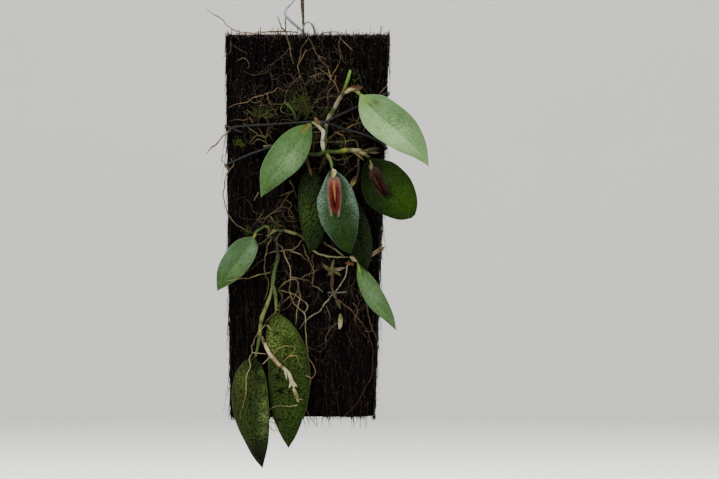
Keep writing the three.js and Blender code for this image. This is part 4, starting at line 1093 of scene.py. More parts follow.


# Leaves. The edges, bow, groove and fold of each blade are those of its solid.

# left and right: edges from foot to tip. out: how far the middle line stands out along its length.
# back: how far each edge falls back. channel: depth of the groove. fold, wave and waves: how the edges
# turn. tip: its width. relief and cell: height and size of the net. spotted: strength of the freckles.
# Colours: the halves and the (x, z, radius, colour) patches are partly the leaf's own colour and partly
# painted light and shade; the rim is a painted highlight along the edges; a sheen colour, where given, is a
# painted sheen near the upper edges.
LEAVES = {
    "leaf_1": dict(
        left=[(32.6, -37.6), (32, -47), (35, -56.5), (41, -63), (47.5, -67.5), (57, -73), (67, -77),
              (75.4, -82)],
        right=[(32.6, -37.6), (46.5, -38), (57, -44), (66, -52), (71.5, -61), (74.5, -70), (75.6, -82)],
        out=[16, 23, 19], back=[5, 6], channel=0.7, slot="leaf_pale",
        halves=[(156, 196, 134), (110, 148, 96)], rim=(170, 198, 150), spotted=0.3,
        patches=[(36, -42, 5, (122, 162, 88)), (42, -41.5, 5, (90, 120, 68)),
                 (42.6, -42.4, 1.2, (84, 72, 34)), (56, -53, 10, (82, 116, 68)),
                 (52, -66, 9, (172, 208, 146)), (72, -77, 5, (122, 160, 96))],
    ),
    "leaf_2": dict(
        left=[(2.6, -55.6), (-6, -57), (-13.5, -61), (-20.5, -68), (-26, -76.5), (-29, -84), (-29.5, -91),
              (-28.8, -101.5)],
        right=[(2.6, -55.6), (3, -64), (2, -70), (-1.2, -78), (-6, -84.5), (-13.5, -90.5), (-21.5, -96.5),
               (-28.6, -101.5)],
        out=[12.6, 22, 24], back=[6, 5], channel=0.7, slot="leaf_pale", halves=[(60, 96, 46), (88, 124, 74)],
        rim=(132, 166, 106),
        patches=[(-1, -59, 6, (80, 116, 50)), (-10, -80, 6, (118, 150, 102)), (-26, -95, 6, (62, 98, 38))],
    ),
    "leaf_3": dict(
        left=[(15.3, -83.2), (12, -88), (8.4, -96.5), (6, -104), (7, -112), (9.4, -119.5), (14, -126),
              (20, -133), (26.4, -136.8)],
        right=[(15.5, -83.2), (23, -89), (27.6, -95.5), (30.4, -103), (32, -110), (31.6, -119),
               (30.4, -127), (26.8, -136.8)],
        out=[12, 21, 22], back=[6, 6], channel=1, slot="leaf_green", halves=[(48, 74, 42), (44, 68, 38)],
        rim=(122, 150, 134), relief=0.32, cell=0.7, painted_sheen=(120, 148, 132),
        patches=[(22, -128, 9, (31, 51, 14)), (24.4, -133, 4.6, (37, 62, 15)), (15.6, -86, 3, (42, 62, 26)),
                 (10, -103, 3.4, (84, 108, 86)), (28, -104, 3, (78, 100, 78))],
    ),
    "leaf_4": dict(
        left=[(1, -82.4), (-3, -88.6), (-5.5, -95.5), (-5.6, -105), (-5, -113.5), (-3.6, -121),
              (-1.6, -129), (1.6, -136)],
        right=[(1.2, -82.4), (5.5, -86), (8.6, -91), (10.8, -103), (11.6, -113), (10.4, -124), (7.4, -131),
               (1.9, -136)],
        out=[6.6, 9.6, 8], back=[2.6, 2.4], channel=1, wave=0.3, slot="leaf_dark",
        halves=[(30, 47, 14), (27, 42, 12)], rim=(60, 78, 42), relief=1.0,
        patches=[(1, -86, 4, (28, 34, 18)), (0, -112, 7, (46, 66, 22))],
    ),
    "leaf_5": dict(
        left=[(26.8, -96), (22.6, -104), (21.4, -113), (22.4, -122), (25, -131), (30, -140), (37, -147.4)],
        right=[(27, -96), (31, -102.5), (35.5, -111), (38.8, -120.5), (40.5, -130), (40.2, -138),
               (37.3, -147.4)],
        out=[8, 11, 9], back=[2.6, 3], channel=1, wave=0.3, slot="leaf_dark",
        halves=[(19, 34, 8), (17, 31, 7)], rim=(50, 66, 36), relief=0.9,
        patches=[(33, -112, 6, (26, 42, 12))],
    ),
    "leaf_6": dict(
        left=[(38.6, -77), (34.8, -82.5), (33.8, -89), (34.4, -97.5), (37.2, -105), (43, -110),
              (50, -113.6), (58, -115.7), (64.6, -114.6)],
        right=[(38.8, -76.8), (47.6, -78), (53.5, -79.8), (59, -84), (64, -89.8), (67, -96.5), (68.4, -103),
               (68, -109), (66.9, -112.6)],
        out=[9, 26, 38], back=[5, 5], channel=1.2, tip=2, slot="leaf_green",
        halves=[(9, 18, 4), (26, 44, 3)], rim=(50, 68, 32), relief=0.35, cell=0.85,
        patches=[(40, -84, 7, (12, 20, 6)), (61, -105, 13, (38, 66, 2)), (66.4, -114.6, 0.9, (64, 52, 22))],
    ),
    "leaf_7": dict(
        left=[(-33.6, -125.8), (-38.6, -126.3), (-45.2, -129.2), (-50, -134.6), (-54.3, -141.3),
              (-56.4, -148), (-56.6, -155), (-56.2, -159.6)],
        right=[(-33.4, -126), (-31, -131.7), (-31.8, -136.6), (-35, -143.2), (-39.4, -149), (-45.2, -153.7),
               (-51, -157.2), (-56, -159.7)],
        out=[8.2, 14, 13], back=[4, 4], channel=0.6, slot="leaf_pale", halves=[(39, 71, 33), (72, 106, 58)],
        rim=(146, 176, 140),
        patches=[(-50.6, -136, 3.4, (84, 114, 84)), (-54, -143, 2.8, (74, 104, 74)),
                 (-53, -154, 5, (54, 90, 32)), (-38, -140, 4, (94, 126, 88)),
                 (-43, -149, 3.4, (84, 116, 68)), (-33.4, -134, 3, (110, 140, 108)),
                 (-45, -136, 5, (56, 90, 50))],
    ),
    "leaf_8": dict(
        left=[(31.2, -142.6), (30.8, -148), (31.5, -155), (34.2, -162.4), (38, -169), (43, -174),
              (48.2, -178.2), (55.2, -184.2)],
        right=[(31.6, -142.4), (37, -147), (43, -154), (47.6, -161.4), (51.4, -169), (54, -176),
               (55.4, -184)],
        out=[8, 15, 15], back=[3.4, 3.4], channel=0.6, slot="leaf_pale",
        halves=[(78, 110, 62), (66, 98, 50)], rim=(134, 164, 110),
        patches=[(33, -146, 4, (72, 108, 38)), (52, -179, 5, (74, 106, 62)), (42, -163, 5, (92, 122, 84))],
    ),
    "leaf_9": dict(
        left=[(-19.6, -172.6), (-24, -179), (-25.7, -186), (-25.6, -193), (-24.6, -203), (-23.8, -221),
              (-22.6, -232), (-20.2, -241.5), (-16.6, -250), (-12, -257.6)],
        right=[(-19.4, -172.6), (-11.6, -178.2), (-7.8, -182.5), (-4, -188.6), (-1.1, -195.5), (1, -204),
               (1.9, -213.5), (1.2, -223), (-0.4, -232), (-3.2, -240.5), (-7, -250), (-11.6, -257.6)],
        out=[10, 13.5, 11], back=[2.6, 4], channel=0.9, fold=3.2, slot="leaf_green",
        halves=[(54, 68, 29), (48, 67, 22)], rim=(86, 104, 44), relief=1.0, cell=0.85,
        patches=[(-16, -184, 13, (86, 106, 48)), (-23, -192, 5, (104, 120, 58)),
                 (-8, -232, 10, (50, 70, 24)), (-20, -206, 5, (54, 64, 28)),
                 (-19.1, -186.3, 1.2, (14, 15, 8)), (-18.2, -213.6, 1.8, (12, 13, 8)),
                 (-16.6, -221.9, 1.9, (12, 13, 8)), (-17.4, -240, 1.3, (16, 18, 9)),
                 (-12, -192, 4, (40, 60, 14))],
    ),
    "leaf_10": dict(
        left=[(-33, -201), (-39.4, -204), (-44.4, -210.6), (-46.7, -219.5), (-47.1, -228), (-45.6, -237.5),
              (-42.8, -246), (-38.5, -254.6), (-33.7, -263.3), (-28.2, -270)],
        right=[(-32.6, -201), (-28.8, -206), (-26, -213.5), (-24.6, -223), (-23.7, -235.5), (-23.7, -247),
               (-24.6, -256.6), (-27.8, -270)],
        out=[17, 20.5, 17.5], back=[4.5, 2.8], channel=1.6, wave=0.7, waves=4, slot="leaf_dark",
        halves=[(48, 60, 20), (37, 51, 17)], rim=(92, 112, 60), relief=1.0, cell=0.85,
        patches=[(-32.6, -207, 3.2, (7, 9, 4)), (-31.8, -214, 3, (10, 14, 6)), (-41, -214, 7, (66, 79, 29)),
                 (-27.4, -210, 2.4, (72, 106, 38)), (-26.2, -220, 3, (68, 90, 36)),
                 (-26.2, -229, 3.4, (84, 106, 50)), (-26, -238, 3.4, (102, 124, 70)),
                 (-27, -247, 3.4, (76, 96, 48)), (-31, -262, 8, (20, 27, 10))],
    ),
}
NET_CELL = (2.2, 1.35)
# Length of a row and number of columns, for a smooth blade and for one with a net
SMOOTH_GRID = (0.6, 44)
NETTED_GRID = (0.3, 72)
REAR_STEP = 4
FOOT_WIDTH = 1.2


def front_and_rear(front, rear):
    """A grid over a blade's front, joined round its rim to the coarser grid over its back."""
    return np.concatenate([front, rear[:, ::-REAR_STEP]], axis=1)


def blade_plan(left, right, tip, step, columns):
    """Plan places of a blade's grid. u runs from foot to tip, and v from -1 at the left edge to 1."""
    reach = np.linalg.norm(np.diff(left, axis=0), axis=1).sum()
    rows = round(reach / step)
    u = np.linspace(0, 1, rows + 1)
    a, b = spline(left, u), spline(right, u)
    along = unit(unit(np.gradient(a, axis=0)) + unit(np.gradient(b, axis=0)))
    across = np.stack([-along[:, 1], along[:, 0]], axis=1)
    if across[rows // 2].dot(b[rows // 2] - a[rows // 2]) < 0:
        across = -across
    for end, width in ((0, FOOT_WIDTH), (-1, tip)):
        a[end], b[end] = a[end] - across[end] * width / 2, b[end] + across[end] * width / 2
    v = np.linspace(-1, 1, columns + 1)[None]
    spot = a[:, None] + (b - a)[:, None] * ((v + 1) / 2)[..., None]
    return spot[..., 0], spot[..., 1], u[:, None], v


def blade(look, left, right, out, back, channel, fold=0.0, wave=0.5, waves=3, tip=0.7, relief=0.03,
          cell=1.0, spotted=1.0, **colours):
    """A leaf as one closed skin, with its front, its rounded rim and its back."""
    x, z, u, v = blade_plan(left, right, tip, *(NETTED_GRID if relief > 0.1 else SMOOTH_GRID))
    body = np.sin(math.pi * u)
    fall = np.where(v < 0, back[0], back[1]) * np.abs(v) ** 1.7 * body**0.6
    groove = channel * np.exp(-((v / 0.2) ** 2)) * body**0.4
    turned = fold * np.maximum(0, -v - 0.3) ** 1.3 * body
    waved = wave * v**2 * np.sin(2 * math.pi * waves * u + np.where(v < 0, 0, 2)) * body
    netted = net(x / NET_CELL[0] / cell + 40, z / NET_CELL[1] / cell - 0.3 * x)
    netted = netted * (1 - np.abs(v) ** 8) * body**0.3
    swell = 0.5 * min(relief, 1) * (ripple(x / 4, z / 3) - 0.5) * body
    plain_front = smooth(out, u) + swell - fall - groove + turned + waved
    front = plain_front + relief * look.net_height / MM * (netted - 0.6)
    depth = 0.7 + 0.8 * (1 - v * v) * (0.4 + 0.6 * body)
    skin = np.stack([x, FACE_Y - front, z - HANG_HEIGHT], axis=-1)
    rear = np.stack([x, FACE_Y - plain_front + depth, z - HANG_HEIGHT], axis=-1)
    rings = front_and_rear(skin, rear)
    rings = np.concatenate([shrunk(rings[0], (0.02, 0.6)), rings, shrunk(rings[-1], (0.6, 0.02))])
    behind = front_and_rear(np.zeros_like(v), np.ones_like(v))
    x, z, v, netted = (front_and_rear(grid, grid) for grid in (x, z, v + 0 * u, netted))
    paint = blade_paint(look, x, z, u, v, behind[..., None], netted[..., None], relief, **colours)
    v, paint = (np.concatenate([grid[:1], grid[:1], grid, grid[-1:], grid[-1:]]) for grid in (v, paint))
    quads = ring_quads(len(rings) - 1, rings.shape[1])
    return Shape(rings, quads, paint.reshape(-1, 3), across=v, spotted=spotted)


def blade_paint(look, x, z, u, v, behind, netted, relief, slot, halves, rim, patches=(), painted_sheen=None):
    """Colours of a blade: halves and patches that are partly painted light and shade, a painted sheen,
    painted shade and light in the net, a painted highlight on the rim, and the back.
    """
    # The two halves and the patches are partly the leaf's own colour and partly painted light and shade: one
    # part lit, another shaded.
    side = 1 / (1 + np.exp(-v / 0.07))[..., None]
    tint = blended(np.array(srgb(*halves[0])), halves[1], side)
    paint = np.array(getattr(look, slot)) * 0.25 + tint * 0.75
    for px, pz, radius, patch in patches:
        paint = blended(paint, patch, patch_share(x - px, z - pz, radius, 2))
    # A painted sheen near the upper edges, strongest towards the foot.
    if painted_sheen:
        share = np.clip((np.abs(v) - 0.5) / 0.45, 0, 1) ** 1.7 * np.clip(2.2 - 2.9 * u, 0, 1)
        share = np.minimum(1, share * (0.45 + 0.9 * ripple(x * 1.3, z * 1.3)))[..., None]
        paint = blended(paint, painted_sheen, share)
    # Painted shade in the net's grooves and painted light on its domes, on top of the relief that the mesh
    # has.
    shadow = min(relief, 1) ** 0.5 * 0.72
    paint = paint * (1 - shadow + shadow * 1.9 * netted**1.2)
    # A painted highlight along the edges, which curve back and catch the light.
    edge = np.clip((np.abs(v) - 0.955) / 0.045, 0, 1)[..., None] * 0.8
    paint = blended(paint, rim, edge)
    # The back is flat: the net's pattern on it is painted shade and light.
    return np.where(behind, np.array(look.underside) * (0.8 + 0.3 * netted), paint)


class ORCHID_OT_leaves(bpy.types.Operator):
    """Makes the ten leaf blades"""

    bl_idname = "orchid.leaves"
    bl_label = "Leaves"

    def execute(self, context):
        look = context.scene.orchid.leaf
        finishes = {
            "leaf_pale": leaf_material("sage leaf", 0.66, 0.27, 0.1, 0.22, 0.5, 0.12, 0.12),
            "leaf_green": leaf_material("green leaf", 0.62, 0.32, 0.0, 0.14, 0.5, 0.06, 0.25),
            "leaf_dark": leaf_material("netted dark leaf", 0.5, 0.25, 0.0, 0.14, 0.42, 0.09, 0.25),
        }
        for name, shape in LEAVES.items():
            slot = shape["slot"]
            new_piece(f"{name}_skin", blade(look, **shape), finishes[slot], [name])
        return {"FINISHED"}


# Flowers

FLOWER_LENGTH = 22.6
FLOWER_LIFT = 2.2
HAIR_SEED = 41
HAIRS = 3400
HAIR_RADIUS = 0.036
# Small scales round a flower's stalk: how many, the turn from one to the next, width and colours
SCALES = 7
SCALE_TURN = 2.4
SCALE_WIDTH = 1.4
SCALE_TINTS = [(200, 188, 138), (150, 122, 76), (100, 74, 44)]
# spot: the leaf, and the flower's top and end on it, its lean and its size. lip: its line on the flower.
# hairy: how much hair shows. The rest are colours.
FLOWERS = {
    "flower_1": dict(
        spot=dict(leaf="leaf_3", top=(16.5, -91), end=(17.2, -111), lean=0.05, size=1.0),
        body=(86, 26, 22), shoulders=(156, 88, 80), flanks=(106, 66, 57), seam=(22, 1, 2), tips=(92, 54, 45),
        stripe=[(0, (148, 92, 76)), (0.25, (112, 70, 46)), (0.7, (108, 78, 52)), (1, (66, 20, 14))],
        lip=[(0, 1.4, 2.7), (0, 5, 3.7), (0.1, 10, 3.7), (0.2, 15.4, 2.9)], hairy=1.0, stalk=(170, 160, 110),
    ),
    "flower_2": dict(
        spot=dict(leaf="leaf_6", top=(42.2, -85.6), end=(50, -101), lean=-0.8, size=0.87),
        body=(34, 11, 8), shoulders=(82, 32, 26), flanks=(30, 21, 14), seam=(8, 2, 1), tips=(26, 19, 12),
        stripe=[(0, (58, 24, 17)), (0.3, (46, 30, 17)), (0.7, (40, 32, 17)), (1, (18, 13, 7))],
        lip=[(-0.6, 3, 2.8), (-0.4, 7, 3.7), (-0.3, 12, 3.7), (-0.1, 18, 3)],
        hairy=0.6, stalk=(84, 92, 46),
    ),
}


def flower_axes(leaf, top, end, lean, size):
    """A flower's top, and its directions aside, down its length and up off the leaf."""
    start, stop = (place([(x, z, surface_out(leaf, x, z) + FLOWER_LIFT)])[0] for x, z in (top, end))
    down = unit(stop - start)
    aside = np.array([math.cos(lean), math.sin(lean), 0])
    aside = unit(aside - down * aside.dot(down))
    up = np.cross(down, aside)
    if up[1] > 0:
        up = -up
    return start, np.array([aside, down, up]) * size


def sepal(side, places):
    """One of the two sepals, grown together at the top and parted at the tip."""
    line = [
        (side * 1, 0.2, 0.6), (side * 1.4, 4, 1.2), (side * 1.6, 10, 1.5), (side * 1.45, 16, 1.3),
        (side * 1.4, FLOWER_LENGTH - 2, 0.9), (side * 1.6, FLOWER_LENGTH, 0.8),
    ]
    return rod(places(line), [1.5, 2, 2.1, 2, 1.5, 0.4], plain(WHITE), sides=20, step=0.45, lumps=0.12)


def sepal_paint(local, flower):
    """Dark down the seam, paler on the shoulders, the flanks and the tips."""
    aside, along = np.abs(local[:, 0]), local[:, 1]
    uneven = 0.7 + 0.6 * ripple(local[:, 0] * 1.4 + 9, along * 0.7)
    shares = {
        "flanks": np.clip((aside - 2.1) / 1.4, 0, 1) * uneven,
        "shoulders": np.clip(1.3 - along / 4.4, 0, 1) * uneven,
        "seam": np.clip(1.5 - aside / 1.1, 0, 1) * np.clip((along - 5) / 5, 0, 1),
        "tips": np.clip((along - 17) / 5, 0, 1) * uneven,
    }
    paint = np.repeat([srgb(*flower["body"])], len(local), axis=0)
    for key, share in shares.items():
        paint = blended(paint, flower[key], np.clip(share, 0, 1)[:, None])
    return paint


def hairs(shape, random, start, axes, long, tint):
    """Short hairs that stand off the flanks and the top of a shape's skin."""
    points, quads = shape.points, shape.quads
    height = (points[quads].mean(axis=1) - start) @ unit(axes[1])
    share = 1 + 7 * np.exp(-((height / 2.2) ** 2))
    pick = random.choice(len(quads), HAIRS * 2, p=share / share.sum())
    corners = points[quads[pick]]
    centre = corners.mean(axis=1)
    normal = unit(np.cross(corners[:, 2] - corners[:, 0], corners[:, 3] - corners[:, 1]))
    outward = np.sign(np.einsum("ij,ij->i", normal, centre - points.mean(axis=0)))[:, None]
    normal = normal * np.where(outward == 0, 1, outward)
    facing = normal @ unit(axes[2])
    aside, along = np.abs((centre - start) @ axes[0]), (centre - start) @ unit(axes[1])
    keep = (facing > -0.6) & ((facing < 0.8) & (aside > 1.7) | (along < 2.6))
    centre, normal = centre[keep][:HAIRS], normal[keep][:HAIRS]
    count = len(centre)
    way = normal + random.normal(0, 0.35, (count, 3))
    reach = long * random.uniform(0.45, 1, count)
    shades = np.array(tint) * random.uniform(0.7, 1.05, (count, 1))
    return strands(centre, way, reach, HAIR_RADIUS, shades, random, bend=0.3, steps=2, taper=0.2)


def stalk_scales(places, hairy):
    """Small dry scales in a spiral round a flower's stalk."""
    scales = []
    for k in range(SCALES):
        turn = SCALE_TURN * k
        foot = places([(0.7 * math.cos(turn), -6.6 + 0.5 * k, 1.1 + 0.6 * math.sin(turn))])[0]
        tip = places([(1.7 * math.cos(turn), -3.6 + 0.5 * k, 1.6 + 1.5 * math.sin(turn))])[0]
        plan = [(x, z + HANG_HEIGHT, FACE_Y - y) for x, y, z in (foot, tip)]
        tint = np.array(SCALE_TINTS[k % 3]) * hairy**0.8
        scales.append(sliver(*plan, SCALE_WIDTH, tuple(tint)))
    return joined(scales)


class ORCHID_OT_flowers(bpy.types.Operator):
    """Makes both flowers: sepals, lip, stalk, bracts and hairs"""

    bl_idname = "orchid.flowers"
    bl_label = "Flowers"

    def execute(self, context):
        look = context.scene.orchid.flower
        random = np.random.default_rng(HAIR_SEED)
        flesh = plant_material("sepal flesh")
        cream = plant_material("lip flesh")
        furry = plant_material("flower hair")
        paper = plant_material("flower bract")
        for name, flower in FLOWERS.items():
            start, axes = flower_axes(**flower["spot"])
            size, hairy = flower["spot"]["size"], flower["hairy"]
            places = lambda line: start + np.array(line, float) @ axes
            middle = places([(0, 1, 0.5), (0, 10, 0.9), (0, 20, 0.6)])
            core = rod(middle, [1.2, 1.6, 1.2], plain(WHITE), sides=12)
            body = joined([sepal(-1, places), sepal(1, places), core])
            body.paint = sepal_paint((body.points - start) @ axes.T / size**2, flower) * 0.8
            body.paint = body.paint + np.array(look.sepals) * 0.2 * hairy**4
            new_piece(f"{name}_sepal_skin", body, flesh, [f"{name}_sepals"])
            radii = np.array([0.9, 0.95, 0.7, 0.15]) * size
            lip = rod(places(flower["lip"]), radii, flower["stripe"], sides=12, step=0.4, lumps=0.3)
            lip.paint = lip.paint * 0.8 + np.array(look.lip) * 0.2 * hairy**4
            new_piece(f"{name}_lip_skin", lip, cream, [f"{name}_lip"])
            fringe = hairs(body, random, start, axes, look.hair_length / MM, np.array(look.hair) * hairy**3)
            new_piece(f"{name}_hairs", fringe, furry)
            tints = [flower["stalk"], (15.8, -86, 3, (190, 180, 128))]
            stalk = softened(f"{name}_stalk", tints, swell=0.06, rough=0.1)
            new_piece(f"{name}_stalk_skin", stalk, paper, [f"{name}_stalk"])
            new_piece(f"{name}_bracts", stalk_scales(places, hairy), paper)
        return {"FINISHED"}


# Dry remains. Each solid's slot, its colour and patches of (x, z, radius, colour).

DRY = {
    "old_stem": (
        "sheath",
        [(178, 166, 124), (-28.4, -188.6, 2.6, (136, 118, 82)), (-24.6, -197, 2.2, (196, 186, 146)),
         (-21, -203, 2, (128, 108, 76)), (-16.2, -206.9, 1.2, (80, 62, 40)),
         (-12, -211, 3, (200, 194, 156))],
    ),
    "old_stem_bud": (
        "sheath",
        [(126, 116, 66), (-8.6, -220.6, 1.4, (180, 172, 124)), (-7.6, -225, 1, (84, 76, 40)),
         (-5.8, -228.6, 1, (156, 148, 100))],
    ),
    "plantlet": (
        "sheath",
        [(180, 164, 132), (30, -139.4, 3, (204, 184, 150)), (38.5, -139, 3.6, (96, 66, 48)),
         (46, -134, 4.5, (84, 62, 46)), (31.2, -141.8, 1.6, (140, 158, 76))],
    ),
    "dead_stump": (
        "dry_stem",
        [(52, 32, 21), (15.4, -146.6, 3, (80, 76, 44)), (22, -145.6, 2.4, (112, 104, 82)),
         (15.4, -156, 4, (56, 28, 17))],
    ),
    "low_bud": (
        "sheath",
        [(140, 136, 98), (20.6, -176, 1.8, (96, 100, 46)), (20.2, -182, 2.4, (160, 158, 124))],
    ),
    "dry_blade": ("dry_stem", [(52, 52, 38), (-3, 24, 8, (40, 40, 28))]),
    "dry_strand": ("dry_stem", [(104, 96, 82), (1, 6, 3, (124, 116, 102))]),
}


class ORCHID_OT_dry_pieces(bpy.types.Operator):
    """Makes the old stem and its bud, the side plantlet, the stump and the dry blade and strand"""

    bl_idname = "orchid.dry_pieces"
    bl_label = "Dry remains"

    def execute(self, context):
        paper = plant_material("old papery skin")
        for node, (slot, table) in DRY.items():
            new_piece(f"{node}_skin", softened(node, table, swell=0.04, rough=0.14), paper, [node])
        return {"FINISHED"}


# Roots, rootlets and moss

ROOTLET_SEED = 67
ROOTLET_STEPS = 8
ROOTLET_TINTS = ((26, 22, 15), (80, 70, 44))
MOSS_SEED = 5
LEAFLETS = 5
